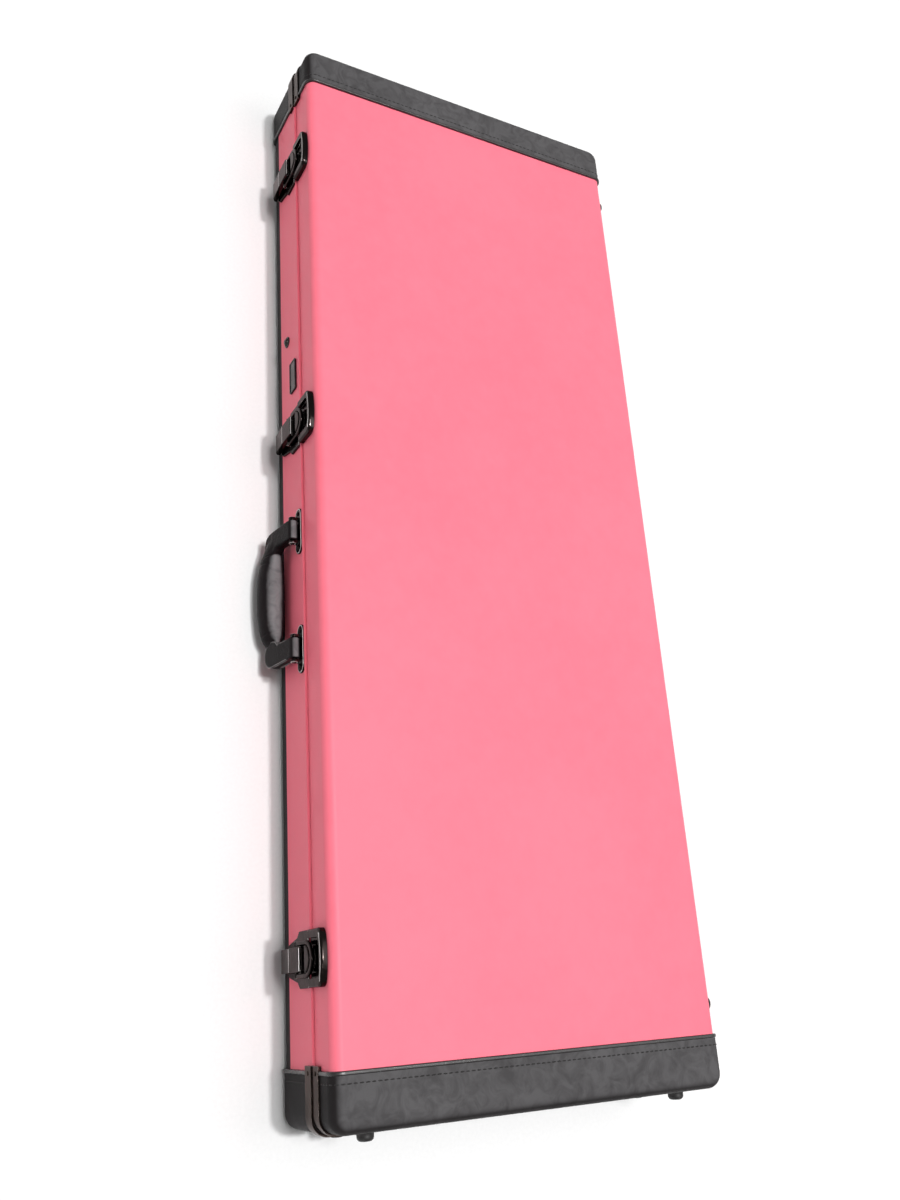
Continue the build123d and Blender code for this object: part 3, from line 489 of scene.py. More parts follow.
def rings_mesh(name, rings, closed_ends=True):
    """Skin over rings of points in millimetres, each ring with as many points."""
    count = len(rings[0])
    points = [tuple(c * MM for c in point) for ring in rings for point in ring]
    faces = []
    for row in range(len(rings) - 1):
        for k in range(count):
            a = row * count + k
            b = row * count + (k + 1) % count
            faces.append((a, b, b + count, a + count))
    if closed_ends:
        faces.append(tuple(reversed(range(count))))
        last = (len(rings) - 1) * count
        faces.append(tuple(range(last, last + count)))
    mesh = bpy.data.meshes.new(name)
    mesh.from_pydata(points, [], faces)
    mesh.validate()
    for polygon in mesh.polygons:
        polygon.use_smooth = True
    return bpy.data.objects.new(name, mesh)


def lathe(name, profile, segments=28):
    """A turned form about local Z from (radius, height) pairs."""
    rings = []
    for radius, height in profile:
        angles = [2 * math.pi * k / segments for k in range(segments)]
        rings.append([(radius * math.cos(a), radius * math.sin(a), height) for a in angles])
    return rings_mesh(name, rings)


def dome(name, radius, height, rim=0.25, segments=28):
    """A domed head standing on a thin rim."""
    profile = [(radius, 0.0), (radius, rim)]
    for step in range(1, 7):
        angle = math.pi / 2 * step / 7
        profile.append((radius * math.cos(angle), rim + (height - rim) * math.sin(angle)))
    profile.append((radius * 0.06, height))
    return lathe(name, profile, segments)


def hollow_rivet(name, radius, height):
    """A rolled tubular rivet: a raised ring round a shallow pit."""
    profile = [(radius, 0.0), (radius, 0.2)]
    for step in range(1, 8):
        angle = math.pi * step / 8
        middle = radius * 0.66
        profile.append((middle + radius * 0.34 * math.cos(angle), 0.2 + (height - 0.2) * math.sin(angle)))
    profile.append((radius * 0.30, height * 0.25))
    profile.append((radius * 0.05, height * 0.2))
    return lathe(name, profile)


def cross_screw(name, radius, height):
    """A pan head with a cross recess."""
    head = dome(name, radius, height, 0.3, 32)
    bm = bmesh.new()
    for turn in (0.0, math.pi / 2):
        size = Matrix.Diagonal((radius * 1.1 * MM, radius * 0.26 * MM, height * 1.1 * MM, 1.0))
        place = Matrix.Translation((0, 0, height * 0.95 * MM)) @ Matrix.Rotation(turn, 4, "Z") @ size
        bmesh.ops.create_cube(bm, size=1.0, matrix=place)
    cutter_mesh = bpy.data.meshes.new(name + "_cutter")
    bm.to_mesh(cutter_mesh)
    bm.free()
    cutter = link(bpy.data.objects.new(name + "_cutter", cutter_mesh))
    link(head)
    cut = head.modifiers.new("cut", "BOOLEAN")
    cut.operation = "DIFFERENCE"
    cut.use_self = True
    cut.object = cutter
    settle(head)
    bpy.data.objects.remove(cutter)
    bpy.context.scene.collection.objects.unlink(head)
    return head


def bead(name, paths, radius, material):
    """Round beads along open paths of points in millimetres, as one mesh."""
    curve = bpy.data.curves.new(name, "CURVE")
    curve.dimensions = "3D"
    curve.bevel_depth = radius * MM
    curve.bevel_resolution = 3
    curve.use_fill_caps = True
    for path in paths:
        spline = curve.splines.new("POLY")
        spline.points.add(len(path) - 1)
        for point, place in zip(spline.points, path):
            point.co = (*[c * MM for c in place], 1.0)
    holder = link(bpy.data.objects.new(name + "_line", curve))
    depsgraph = bpy.context.evaluated_depsgraph_get()
    depsgraph.update()
    mesh = bpy.data.meshes.new_from_object(holder.evaluated_get(depsgraph))
    mesh.name = name
    mesh.materials.clear()
    mesh.materials.append(material)
    bpy.data.objects.remove(holder)
    return smooth_faces(link(bpy.data.objects.new(name, mesh)))


def scatter_tree(name):
    """Geometry nodes: one template on every point, turned by the points' own angles, then made real."""
    tree = bpy.data.node_groups.new(name, "GeometryNodeTree")
    for label, kind in (
        ("Geometry", "NodeSocketGeometry"),
        ("Template", "NodeSocketObject"),
        ("Material", "NodeSocketMaterial"),
        ("Seed", "NodeSocketInt"),
        ("Twist", "NodeSocketFloat"),
        ("Size Spread", "NodeSocketFloat"),
    ):
        tree.interface.new_socket(label, in_out="INPUT", socket_type=kind)
    tree.interface.new_socket("Geometry", in_out="OUTPUT", socket_type="NodeSocketGeometry")
    add = tree.nodes.new
    join = tree.links.new
    start = add("NodeGroupInput")
    end = add("NodeGroupOutput")
    info = add("GeometryNodeObjectInfo")
    info.inputs["As Instance"].default_value = True
    turn = add("GeometryNodeInputNamedAttribute")
    turn.data_type = "FLOAT_VECTOR"
    turn.inputs["Name"].default_value = "turn"
    to_rotation = add("FunctionNodeEulerToRotation")
    place = add("GeometryNodeInstanceOnPoints")
    twist = add("FunctionNodeRandomValue")
    twist.data_type = "FLOAT"
    spin = add("GeometryNodeRotateInstances")
    axis = add("ShaderNodeCombineXYZ")
    minus = add("ShaderNodeMath")
    minus.operation = "MULTIPLY"
    minus.inputs[1].default_value = -1.0
    spread = add("FunctionNodeRandomValue")
    spread.data_type = "FLOAT"
    low = add("ShaderNodeMath")
    low.operation = "SUBTRACT"
    low.inputs[0].default_value = 1.0
    high = add("ShaderNodeMath")
    high.operation = "ADD"
    high.inputs[0].default_value = 1.0
    real = add("GeometryNodeRealizeInstances")
    paint_it = add("GeometryNodeSetMaterial")
    join(start.outputs["Template"], info.inputs["Object"])
    join(start.outputs["Geometry"], place.inputs["Points"])
    join(info.outputs["Geometry"], place.inputs["Instance"])
    join(turn.outputs[0], to_rotation.inputs[0])
    join(to_rotation.outputs[0], place.inputs["Rotation"])
    join(start.outputs["Size Spread"], low.inputs[1])
    join(start.outputs["Size Spread"], high.inputs[1])
    join(low.outputs[0], spread.inputs[2])
    join(high.outputs[0], spread.inputs[3])
    join(start.outputs["Seed"], spread.inputs["Seed"])
    join(spread.outputs[1], place.inputs["Scale"])
    join(start.outputs["Twist"], minus.inputs[0])
    join(minus.outputs[0], twist.inputs[2])
    join(start.outputs["Twist"], twist.inputs[3])
    join(start.outputs["Seed"], twist.inputs["Seed"])
    join(twist.outputs[1], axis.inputs[2])
    join(place.outputs[0], spin.inputs["Instances"])
    join(axis.outputs[0], spin.inputs["Rotation"])
    join(spin.outputs[0], real.inputs[0])
    join(real.outputs[0], paint_it.inputs["Geometry"])
    join(start.outputs["Material"], paint_it.inputs["Material"])
    join(paint_it.outputs[0], end.inputs[0])
    return tree


SCATTER = scatter_tree("scatter")


def frame_turn(normal, along=None):
    """Euler angles that stand local Z on a normal, with local X along a direction."""
    z = Vector(normal).normalized()
    x = Vector(along) if along is not None else z.orthogonal()
    x = (x - z * x.dot(z)).normalized()
    y = z.cross(x)
    return Matrix((x, y, z)).transposed().to_euler()


def scatter(name, spots, template, material, seed=1, twist=0.0, spread=0.0):
    """One real mesh with the template on every (point in mm, normal, along) spot."""
    mesh = bpy.data.meshes.new(name + "_points")
    mesh.from_pydata([tuple(c * MM for c in spot[0]) for spot in spots], [], [])
    turns = mesh.attributes.new("turn", "FLOAT_VECTOR", "POINT")
    for index, spot in enumerate(spots):
        turns.data[index].vector = frame_turn(*spot[1:])
    obj = link(bpy.data.objects.new(name, mesh))
    coat(template, material)
    link(template)
    modifier = obj.modifiers.new("scatter", "NODES")
    modifier.node_group = SCATTER
    values = {"Template": template, "Material": material, "Seed": seed, "Twist": twist, "Size Spread": spread}
    for item in SCATTER.interface.items_tree:
        if item.in_out == "INPUT" and item.name in values:
            modifier[item.identifier] = values[item.name]
    obj.update_tag()
    settle(obj)
    if not obj.data.materials:
        obj.data.materials.append(material)
    bpy.data.objects.remove(template)
    return smooth_faces(obj)


# Nails, rivets and screws


guard_nails = {"base": [], "lid": []}
nail_x = GUARD_START + GUARD_NAIL_INSET
nail_y = SIDE - GUARD_WRAP + GUARD_NAIL_INSET
for body, side, end, height in (
    ("base", SIDE, END, GUARD_NAIL_LEVELS[0]), ("lid", LID_SIDE, LID_END, GUARD_NAIL_LEVELS[1])
):
    for sx in (-1, 1):
        for sy in (-1, 1):
            guard_nails[body].append(((sx * nail_x, sy * (side + GUARD_OUT), height), (0, sy, 0)))
            guard_nails[body].append(((sx * (end + GUARD_OUT), sy * nail_y, height), (sx, 0, 0)))
for body, spots in guard_nails.items():
    nails = scatter(
        body + "_nail_heads", spots, dome("nail", 1.7, 0.9), M["bronze_metal"],
        seed=3, twist=3.0, spread=0.03,
    )
    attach(nails, body)
    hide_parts(body + "_guard_nails")


def front_spots(places, out):
    """Spots on the front at (x, z) places, at a distance out from the base."""
    return [((x, -SIDE - out, z), (0, -1, 0)) for x, z in places]


def pairs(middles, spread):
    """Two places at a spread to either side of each middle."""
    return [x + s * spread for x in middles for s in (-1, 1)]


plate_places = [(x, z) for x in LATCH_X for z in PLATE_RIVET_LEVELS]
catch_places = [(x, CATCH_TOP - CATCH_RIVET_DROP) for x in pairs(LATCH_X, CATCH_RIVET_SPREAD)]
bracket_places = [(x, BRACKET_LEVEL) for x in pairs(BRACKET_X, BRACKET_RIVET_SPREAD)]
rows = {
    "latch_plate_rivets": ("base", front_spots(plate_places, PLATE_OUT)),
    "latch_catch_rivets": ("lid", front_spots(catch_places, CATCH_FLOOR)),
    "handle_bracket_rivets": ("base", front_spots(bracket_places, BRACKET_THICK)),
}
for node, (body, spots) in rows.items():
    rivets = scatter(
        node + "_heads", spots, hollow_rivet("rivet", 2.2, 1.1), M["dark_nickel"],
        seed=5, twist=3.0, spread=0.02,
    )
    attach(rivets, body)
    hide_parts(node)
screw_places = [x + step * HINGE_SCREW_SPREAD for x in HINGE_X for step in (-1, 0, 1)]
for body, seat, height in (
    ("base", SIDE, HINGE_SCREW_LEVELS[0]), ("lid", LID_SIDE, HINGE_SCREW_LEVELS[1])
):
    spots = [((x, seat + HINGE_LEAF, height), (0, 1, 0)) for x in screw_places]
    screws = scatter(
        body + "_screw_heads", spots, cross_screw("screw", 2.6, 0.8), M["dark_nickel"], seed=8, twist=3.0
    )
    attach(screws, body)
    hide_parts(body + "_hinge_screws")


# Rims rubbed bright on the latches and on the handle's brackets


def arc_points(x, z, radius, start, sweep, steps=14):
    """Points (x, z) on an arc seen from the front, its angles in turns."""
    angles = [2 * math.pi * (start + sweep * k / steps) for k in range(steps + 1)]
    return [(x + radius * math.cos(a), z + radius * math.sin(a)) for a in angles]


def bracket_rim(x, half=15.6, radius=6.5, sink=0.2):
    """Round the oval plate of a handle bracket."""
    outline = arc_points(x + half, BRACKET_LEVEL, radius, -0.25, 0.5)
    outline += arc_points(x - half, BRACKET_LEVEL, radius, 0.25, 0.5)
    outline.append(outline[0])
    return [(px, -SIDE - BRACKET_THICK + sink, pz) for px, pz in outline]


def lug_rim(x, radius=3.0):
    """Round the eye of a handle lug, on the face that looks along X."""
    eye = arc_points(0.0, 0.0, radius, 0.0, 1.0, 20)
    return [(x, -SIDE - PIN_OUT + py, PIN_HEIGHT + pz) for py, pz in eye]


def catch_rim(x, reach=18.5, drop=2.0, sink=0.2, steps=12):
    """Along the bowed upper edge of a catch."""
    offsets = [reach * (2 * k / steps - 1) for k in range(steps + 1)]
    heights = [CATCH_TOP - drop - CATCH_BOW * (d / CATCH_HALF) ** 2 for d in offsets]
    return [(x + d, -SIDE - CATCH_OUT + sink, z) for d, z in zip(offsets, heights)]


def across(x, half, out, height):
    """A straight line along X at one height on the front."""
    return [(x - half, -SIDE - out, height), (x + half, -SIDE - out, height)]


RIM_RADIUS = 0.38
base_rims = [bracket_rim(x) for x in BRACKET_X]
base_rims += [lug_rim(x) for x in pairs(BRACKET_X, LUG_REACH)]
base_rims += [across(x, CATCH_HALF - 0.6, PLATE_OUT - 0.2, PLATE_TOP - 0.25) for x in LATCH_X]
rims = {"base": base_rims, "lid": [catch_rim(x) for x in LATCH_X]}
for number, x in enumerate(LATCH_X, start=1):
    rims[f"lever_{number}"] = [across(x, LEVER_HALF - 0.5, out, height) for out, height in LEVER_EDGES]
for body, paths in rims.items():
    rim = bead(body + "_bright_rims", paths, RIM_RADIUS, M["worn_nickel"])
    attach(rim, body)


# Stud, badge plate and feet


def stud_profile():
    """A snap stud: rolled flange, a groove and a raised button with a dimple."""
    profile = [(5.8, 0.0), (5.8, 0.5)]
    for step in range(1, 7):
        angle = math.pi * step / 7
        profile.append((4.9 + 0.9 * math.cos(angle), 0.5 + 1.0 * math.sin(angle)))
    profile += [(3.9, 0.6), (3.7, 0.9)]
    for step in range(0, 8):
        angle = math.pi / 2 * step / 8
        profile.append((0.9 + 2.7 * math.cos(angle), 1.2 + 2.4 * math.sin(angle)))
    profile += [(0.8, 3.45), (0.3, 3.25)]
    return profile


stud = scatter(
    "front_stud_cap", [(STUD_PLACE, (0, -1, 0))], lathe("stud", stud_profile(), 40), M["stud_metal"]
)
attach(stud, "base")
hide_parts("front_stud")


def rounded_rectangle(length, width, radius, steps=6):
    """Points round a rectangle with rounded corners, in its own plane."""
    points = []
    for quarter, (sx, sy) in enumerate(((1, 1), (-1, 1), (-1, -1), (1, -1))):
        for step in range(steps + 1):
            angle = math.pi / 2 * (quarter + step / steps)
            points.append(
                (sx * (length / 2 - radius) + radius * math.cos(angle),
                 sy * (width / 2 - radius) + radius * math.sin(angle))
            )
    return points


def stepped_plate(name, length, width, radius, levels):
    """A plate built up from (inset, height) levels of one rounded outline."""
    rings = []
    for inset, height in levels:
        outline = rounded_rectangle(length - 2 * inset, width - 2 * inset, max(radius - inset, 0.15))
        rings.append([(x, y, height) for x, y in outline])
    return rings_mesh(name, rings)


BADGE_LEVELS = (
    (0.0, 0.0), (0.0, 1.3), (0.15, 1.7), (0.5, 2.0), (1.0, 2.0), (1.35, 1.75), (1.5, 1.35), (1.9, 1.2),
    (2.6, 1.2),
)
badge = scatter(
    "badge_frame", [(BADGE_PLACE, (0, -1, 0), (1, 0, 0))],
    stepped_plate("badge", *BADGE_SIZE, BADGE_CORNER, BADGE_LEVELS), M["badge_metal"],
)
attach(badge, "base")
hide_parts("badge_plate")


def foot_profile():
    """A rubber bumper: flared root, rolled shoulder and a hollow for its fixing."""
    profile = [(7.5, 0.0), (7.5, 0.8), (7.1, 1.3), (7.0, 3.6)]
    for step in range(1, 8):
        angle = math.pi / 2 * step / 8
        profile.append((3.6 + 3.4 * math.cos(angle), 4.1 + 3.4 * math.sin(angle)))
    profile += [(3.4, 7.45), (3.0, 7.1), (2.9, 4.4), (0.4, 4.3)]
    return profile


for body, side, end, side_level, end_level in (
    ("base", SIDE, END + LEATHER, BASE_FOOT_LEVEL, BASE_FOOT_LEVEL),
    ("lid", LID_SIDE, LID_END + LEATHER, LID_SIDE_FOOT_LEVEL, LID_END_FOOT_LEVEL),
):
    spots = [((x, side, side_level), (0, 1, 0)) for x in SIDE_FOOT_X]
    spots += [((end, y, end_level), (1, 0, 0)) for y in END_FOOT_Y]
    feet = scatter(
        body + "_bumpers", spots, lathe("foot", foot_profile(), 36), M["foot_rubber"], seed=2, twist=3.0
    )
    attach(feet, body)
    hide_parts(body + "_feet")
    seats = [(tuple(Vector(p) + Vector(n) * FOOT_SCREW_SEAT), n) for p, n in spots]
    pins = scatter(
        body + "_bumper_pins", seats, cross_screw("pin", 2.7, 1.2), M["bronze_metal"], seed=4, twist=3.0
    )
    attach(pins, body)


# Stitches along the end covers


def stitch_template(length, width, height):
    """One stitch: a short plump oval lying along local X."""
    bm = bmesh.new()
    bmesh.ops.create_uvsphere(bm, u_segments=10, v_segments=7, radius=0.5)
    bmesh.ops.transform(bm, matrix=Matrix.Rotation(math.pi / 2, 4, "Y"), verts=bm.verts)
    bmesh.ops.transform(bm, matrix=Matrix.Diagonal((length * MM, width * MM, height * MM, 1)), verts=bm.verts)
    mesh = bpy.data.meshes.new("stitch")
    bm.to_mesh(mesh)
    bm.free()
    return bpy.data.objects.new("stitch", mesh)


def walk(path, pitch):
    """Even steps along a polyline of (point, normal) pairs: (point, normal, along) at each step."""
    spots = []
    carried = pitch / 2
    for (p, n), (q, m) in zip(path, path[1:]):
        p, q = Vector(p), Vector(q)
        length = (q - p).length
        while carried <= length and length > 0:
            share = carried / length
            spots.append((tuple(p.lerp(q, share)), tuple(Vector(n).lerp(Vector(m), share)), tuple(q - p)))
            carried += pitch
        carried -= length
    return spots


def over_section(x, half, top, radius, low, steps=10):
    """A path over the lid at one X: up one side, over both rounded edges and down the other."""
    path = [((x, -half, low), (0, -1, 0))]
    for side in (-1, 1):
        centre = (side * (half - radius), top - radius)
        angles = [math.pi / 2 * k / steps for k in range(steps + 1)]
        if side == 1:
            angles.reverse()
        for angle in angles:
            y, z = math.cos(angle) * side, math.sin(angle)
            path.append(((x, centre[0] + radius * y, centre[1] + radius * z), (0, y, z)))
    path.append(((x, half, low), (0, 1, 0)))
    return path


STITCH_X = 498.5
STITCH_PITCH = 5.2
LID_STITCH_START = 83.5
BASE_STITCH_RUN = (9.0, 55.5)
lid_spots = []
base_spots = []
for side in (-1, 1):
    x = side * STITCH_X
    over = over_section(x, LID_SIDE + LEATHER, TOP + LEATHER, LID_ROUND + LEATHER, LID_STITCH_START)
    lid_spots += walk(over, STITCH_PITCH)
    for y_side in (-1, 1):
        y = y_side * (SIDE + LEATHER)
        base_spots += walk([((x, y, z), (0, y_side, 0)) for z in BASE_STITCH_RUN], STITCH_PITCH)
for body, spots in (("lid", lid_spots), ("base", base_spots)):
    stitches = scatter(
        body + "_cover_stitches", spots, stitch_template(3.9, 1.15, 0.95), M["thread"],
        seed=11, twist=0.05, spread=0.06,
    )
    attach(stitches, body)

# Folded vinyl lip along the top edge of the base
lip_x = GUARD_START - 1.0
lips = bead(
    "base_lip",
    [[(-lip_x, side * (SIDE + 0.2), BASE_TOP - 1.0), (lip_x, side * (SIDE + 0.2), BASE_TOP - 1.0)]
     for side in (-1, 1)],
    1.0, M["pink_vinyl"],
)
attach(lips, "base")


# Handle: one padded leather bar that grows out of the upper strap and ends at the lower paddle


handle_lean = (GRIP_OUT - PIN_OUT) / (PIN_HEIGHT - GRIP_HEIGHT)
handle_normal = Vector((0, -1, handle_lean)).normalized()


def handle_point(x, drop, lift=0.0):
    """A point of the handle's plane at a drop below the pins, lifted out of the plane."""
    point = Vector((x, -SIDE - PIN_OUT - handle_lean * drop, PIN_HEIGHT - drop))
    return point + handle_normal * lift


def through(points, per_span=14):
    """A smooth line through (x, drop) points."""
    chain = [points[0]] + list(points) + [points[-1]]
    line = []
    for a, b, c, d in zip(chain, chain[1:], chain[2:], chain[3:]):
        a, b, c, d = (np.array(p, float) for p in (a, b, c, d))
        for step in range(per_span):
            t = step / per_span
            square = (2 * a - 5 * b + 4 * c - d) * t**2
            cube = (3 * b - a - 3 * c + d) * t**3
            line.append(0.5 * (2 * b + (c - a) * t + square + cube))
    line.append(np.array(points[-1], float))
    return np.array(line)


# The grip's middle line as (x, drop), then its half sizes as (share of the line, thick, wide)
GRIP_ROUTE = (
    (20.6, 19.0), (22.5, 29.0), (28.5, 36.2), (37.5, 39.6), (51.0, 41.7), (77.75, 42.5), (104.5, 41.7),
    (118.0, 39.0), (126.0, 36.6), (133.0, 34.0),
)
GRIP_STATIONS = (
    (0.0, 4.4, 8.6), (0.08, 5.8, 9.4), (0.15, 7.8, 10.6), (0.24, 10.2, 11.8), (0.36, 12.3, 13.0),
    (0.5, 12.9, 13.5), (0.66, 12.5, 13.1), (0.78, 11.2, 12.2), (0.86, 9.2, 11.0), (0.905, 5.8, 9.4),
    (1.0, 3.6, 6.0),
)
grip_line = through(GRIP_ROUTE)
steps = np.linalg.norm(np.diff(grip_line, axis=0), axis=1)
grip_reach = np.concatenate([[0.0], np.cumsum(steps)])
grip_share = grip_reach / grip_reach[-1]
grip_tangent = np.gradient(grip_line, grip_reach, axis=0)
grip_tangent /= np.linalg.norm(grip_tangent, axis=1)[:, None]
station_share, station_thick, station_wide = (np.array(column) for column in zip(*GRIP_STATIONS))
grip_thick = np.interp(grip_share, station_share, station_thick)
grip_wide = np.interp(grip_share, station_share, station_wide)
kernel = np.hanning(9) / np.hanning(9).sum()
grip_thick = np.convolve(np.pad(grip_thick, 4, mode="edge"), kernel, "valid")
grip_wide = np.convolve(np.pad(grip_wide, 4, mode="edge"), kernel, "valid")


def grip_ring(index, count=40, power=0.94):
    """One section across the grip, a little squarer than an ellipse."""
    x, drop = grip_line[index]
    tx, tdrop = grip_tangent[index]
    ring = []
    for k in range(count):
        angle = 2 * math.pi * k / count
        c, s = math.cos(angle), math.sin(angle)
        lift = grip_thick[index] * math.copysign(abs(c) ** power, c)
        wide = grip_wide[index] * math.copysign(abs(s) ** power, s)
        ring.append(tuple(handle_point(x - tdrop * wide, drop + tx * wide, lift)))
    return ring


# The strap keeps its edges near the pin, and the smoothing grows from this drop over this reach
EASE_START = 8.0
EASE_REACH = 8.0


def leather_wrap():
    """The strap and the grip under one skin, smoothed where the leather bends from one to the other."""
    bar = rings_mesh("bar", [grip_ring(i) for i in range(len(grip_line))])
    bm = bmesh.new()
    bm.from_mesh(frame["nodes"]["handle_strap_1"].data)
    bmesh.ops.remove_doubles(bm, verts=bm.verts, dist=1e-6)
    bm.from_mesh(bar.data)
    bmesh.ops.recalc_face_normals(bm, faces=bm.faces)
    mesh = bpy.data.meshes.new("handle_wrap")
    bm.to_mesh(mesh)
    bm.free()
    wrap = link(bpy.data.objects.new("handle_wrap", mesh))
    add_skin(wrap, 0.75)
    settle(wrap)
    drops = np.array([PIN_HEIGHT - v.co.z / MM for v in wrap.data.vertices])
    weights = np.clip((drops - EASE_START) / EASE_REACH, 0.0, 1.0)
    bend = wrap.vertex_groups.new(name="bend")
    for index, weight in enumerate(weights):
        bend.add([index], float(0.12 + 0.88 * weight), "REPLACE")
    add_ease(wrap, 26, group="bend")
    return settle(wrap)


# Creases of the leather as (x at the middle, slant, width, depth, angle it faces, angle it covers)
CREASES = (
    (35.5, 0.18, 0.75, 0.75, 0.6, 1.5),
    (41.5, -0.10, 0.8, 0.45, 0.2, 0.8),
    (31.0, 0.30, 1.1, 0.40, 1.4, 0.9),
    (113.5, 0.22, 0.9, 0.45, 0.5, 1.0),
    (117.5, -0.25, 0.8, 0.55, 0.9, 1.1),
    (108.0, 0.15, 1.3, 0.22, 1.2, 0.8),
    (64.0, 0.40, 1.6, 0.14, 2.2, 0.9),
    (88.0, -0.35, 1.8, 0.14, -1.0, 0.9),
)
SLEEVE_EDGE = 33.8
SLEEVE_STEP = 0.45
SLEEVE_DROP = 26.0


def crease_wrap(wrap):
    """Press the creases in and let the sleeve's edge stand a little over the strap."""
    mesh = wrap.data
    points = np.array([v.co for v in mesh.vertices]) / MM
    normals = np.array([v.normal for v in mesh.vertices])
    drop = PIN_HEIGHT - points[:, 2]
    plane_y = -SIDE - PIN_OUT - handle_lean * drop
    lift = (points[:, 1] - plane_y) * handle_normal.y
    middle = np.interp(points[:, 0], grip_line[:, 0], grip_line[:, 1])
    below = drop - middle
    facing = np.arctan2(-below, lift)
    sunk = np.zeros(len(points))
    for x, slant, width, depth, aim, cover in CREASES:
        away = np.abs(np.angle(np.exp(1j * (facing - aim))))
        mask = np.clip(1.0 - away / cover, 0.0, 1.0) ** 0.6
        waver = 0.5 * np.sin(0.9 * facing * 3.0 + x)
        sunk += depth * mask * np.exp(-(((points[:, 0] - x - slant * below - waver) / width) ** 2))
    grip_zone = np.clip((drop - SLEEVE_DROP) / 5.0, 0.0, 1.0)
    edge = SLEEVE_EDGE + 0.2 * below + 0.4 * np.sin(facing * 2.0)
    sunk += SLEEVE_STEP * np.clip((edge - points[:, 0]) / 0.5, 0.0, 1.0) * grip_zone
    for index, point in enumerate(points):
        slack = noise.noise(Vector(point) * 0.09) * 0.22 + noise.noise(Vector(point) * 0.4) * 0.06
        sunk[index] = sunk[index] * grip_zone[index] + max(slack, -0.12) * grip_zone[index]
    moved = (points - normals * sunk[:, None]) * MM
    mesh.vertices.foreach_set("co", moved.astype(np.float32).ravel())
    mesh.update()
    return wrap


wrap = smooth_faces(crease_wrap(leather_wrap()))
coat(wrap, M["grip_leather"])
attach(wrap, "handle")
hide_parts("handle_grip", "handle_strap_1")

SEAM_RUN = (38.0, 114.0)
seam_path = []
for index in range(0, len(grip_line), 3):
    if SEAM_RUN[0] < grip_line[index][0] < SEAM_RUN[1]:
        spot = handle_point(*grip_line[index], -(grip_thick[index] - 0.25))
        seam_path.append((tuple(spot), tuple(-handle_normal)))
seam = scatter(
    "handle_seam_stitches", walk(seam_path, 4.0), stitch_template(2.9, 0.9, 0.8), M["thread"],
    seed=21, twist=0.08, spread=0.08,
)
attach(seam, "handle")


def lower_strap():
    """The strap with the round paddle, its cut edges eased."""
    strap = copy_of("handle_paddle", "handle_strap_2")
    add_skin(strap, 0.6)
    add_ease(strap, 9)
    settle(strap)
    coat(strap, M["grip_leather"])
    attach(strap, "handle")
    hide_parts("handle_strap_2")
    return smooth_faces(strap)


lower_strap()


def paddle_outline(grow, top=7.0, steps=40):
    """Round the lower strap in the handle's plane: down one side, round the paddle and up again."""
    left = BRACKET_X[1] - STRAP_HALF - grow
    right_edge = BRACKET_X[1] + STRAP_HALF + grow
    radius = PADDLE_RADIUS + grow
    start = math.acos((left - PADDLE_X) / radius)
    end = math.acos((right_edge - PADDLE_X) / radius)
    points = [(left, top)]
    for step in range(steps + 1):
        angle = start + (2 * math.pi - end - start) * step / steps
        points.append((PADDLE_X + radius * math.cos(angle), PADDLE_DROP - radius * math.sin(angle)))
    points.append((right_edge, top))
    return points


# The paddle's rim beads are light grey: real edge paint and a painted highlight along the rims.
edge_lines = []
for face in (-1, 1):
    for inset, grow in ((0.55, -0.45), (2.1, 0.0)):
        lift = face * (STRAP_THICK - inset)
        edge_lines.append([tuple(handle_point(x, drop, lift)) for x, drop in paddle_outline(grow)])
paddle_edges = bead("handle_paddle_edges", edge_lines, 0.42, M["edge_paint"])
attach(paddle_edges, "handle")


# Plush padding inside


def uneven(obj, depth, scale, seed):
    """Press a soft skin in by a slow noise, never outwards."""
    mesh = obj.data
    offset = Vector((seed * 3.7, seed * 1.9, seed * 5.3))
    places = [v.co.copy() for v in mesh.vertices]
    normals = [v.normal.copy() for v in mesh.vertices]
    for vertex, place, normal in zip(mesh.vertices, places, normals):
        amount = 0.5 + 0.5 * noise.noise(place * scale + offset)
        vertex.co = place - normal * depth * MM * amount
    mesh.update()
    return obj


def foam_block(node, body, voxel, rounds, seed):
    """Foam under plush: the CAD form remeshed, its edges eased and its surface left uneven."""
    piece = copy_of(node + "_plush", node)
    add_skin(piece, voxel)
    add_ease(piece, rounds)
    settle(piece)
    uneven(piece, 0.9, 28.0, seed)
    smooth_faces(piece)
    coat(piece, M["plush"])
    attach(piece, body)
    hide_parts(node)
    return piece


foam_block("body_cradle", "base", 3.6, 5, 1)
foam_block("neck_side_pad", "base", 3.2, 6, 2)
foam_block("neck_rest", "base", 2.0, 7, 3)
foam_block("head_cradle", "base", 3.2, 5, 4)
foam_block("accessory_box", "base", 1.9, 4, 5)
foam_block("accessory_lid", "accessory_lid", 1.5, 5, 6)


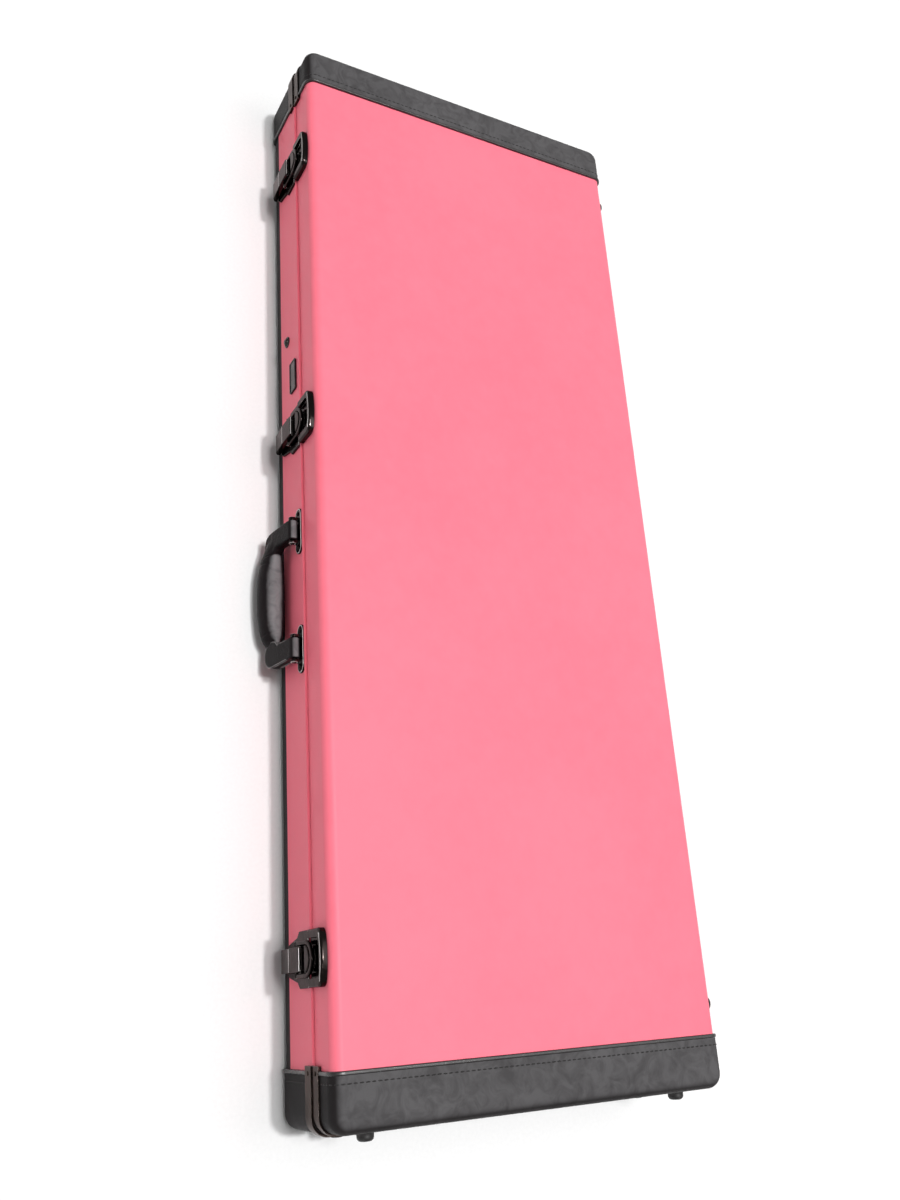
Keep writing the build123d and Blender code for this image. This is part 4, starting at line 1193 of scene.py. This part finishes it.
def blown_up(piece, held, pressure, frames, reach):
    """Blow a skin up as cloth that is held at some points; no point moves further than the reach."""
    group = piece.vertex_groups.new(name="held")
    group.add(held, 1.0, "REPLACE")
    rest = np.array([v.co for v in piece.data.vertices])
    cloth = piece.modifiers.new("cloth", "CLOTH")
    cloth.settings.use_pressure = True
    cloth.settings.uniform_pressure_force = pressure
    cloth.settings.vertex_group_mass = "held"
    cloth.settings.effector_weights.gravity = 0.0
    cloth.settings.quality = 4
    cloth.point_cache.frame_end = frames
    for step in range(1, frames + 1):
        bpy.context.scene.frame_set(step)
    settle(piece)
    swollen = np.array([v.co for v in piece.data.vertices])
    moved = swollen - rest
    length = np.linalg.norm(moved, axis=1)
    moved *= np.minimum(1.0, reach * MM / np.maximum(length, 1e-9))[:, None]
    piece.data.vertices.foreach_set("co", (rest + moved).astype(np.float32).ravel())
    piece.data.update()
    bpy.context.scene.frame_set(1)
    return piece


# The lid's cushion starts at these shares of its full size, along X, Y and Z
CUSHION_SHARES = (0.993, 0.982, 0.55)


def lid_cushion():
    """The lid's pad: a thin start swollen under pressure, flat where it is glued to the lid."""
    piece = copy_of("lid_pad_cushion", "lid_pad")
    low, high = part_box("lid_pad")
    for vertex in piece.data.vertices:
        vertex.co.z = high.z - (high.z - vertex.co.z) * CUSHION_SHARES[2]
        vertex.co.x *= CUSHION_SHARES[0]
        vertex.co.y *= CUSHION_SHARES[1]
    add_skin(piece, 5.5)
    settle(piece)
    glued = [v.index for v in piece.data.vertices if v.co.z > high.z - 2.0 * MM]
    blown_up(piece, glued, 4.0, 16, (high.z - low.z) / MM * 0.42)
    for vertex in piece.data.vertices:
        vertex.co.z = min(max(vertex.co.z, low.z), high.z)
    add_ease(piece, 3, 0.4)
    settle(piece)
    smooth_faces(piece)
    coat(piece, M["plush"])
    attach(piece, "lid")
    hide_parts("lid_pad")
    return piece


lid_cushion()


def lining_skin():
    """The lining's tray with its edges rolled over."""
    piece = copy_of("base_lining_plush", "base_lining")
    bm = bmesh.new()
    bm.from_mesh(piece.data)
    bmesh.ops.dissolve_limit(bm, angle_limit=math.radians(1), verts=bm.verts, edges=bm.edges)
    bm.to_mesh(piece.data)
    bm.free()
    roll = piece.modifiers.new("roll", "BEVEL")
    roll.width = 1.0 * MM
    roll.segments = 3
    roll.limit_method = "ANGLE"
    settle(piece)
    coat(piece, M["plush"])
    smooth_faces(piece)
    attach(piece, "base")
    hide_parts("base_lining")
    return piece


lining_skin()

# The leather pull tab of the accessory lid
TAB_CORNER = 4.0
TAB_LEVELS = (
    (0.3, 0.0), (0.0, 0.35), (0.0, 1.3), (0.35, 1.7), (1.2, 1.85), (2.0, 1.6), (2.6, 1.55), (3.6, 1.8),
    (6.0, 1.95),
)
tab_low, tab_high = (Vector(corner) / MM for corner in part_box("pull_tab"))
tab_centre = (tab_low + tab_high) / 2
tab_length, tab_width = tab_high.y - tab_low.y, tab_high.x - tab_low.x
tab = scatter(
    "pull_tab_leather", [((tab_centre.x, tab_centre.y, tab_low.z), (0, 0, 1), (0, 1, 0))],
    stepped_plate("tab", tab_length, tab_width, TAB_CORNER, TAB_LEVELS), M["leather"],
)
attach(tab, "accessory_lid")
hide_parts("pull_tab")
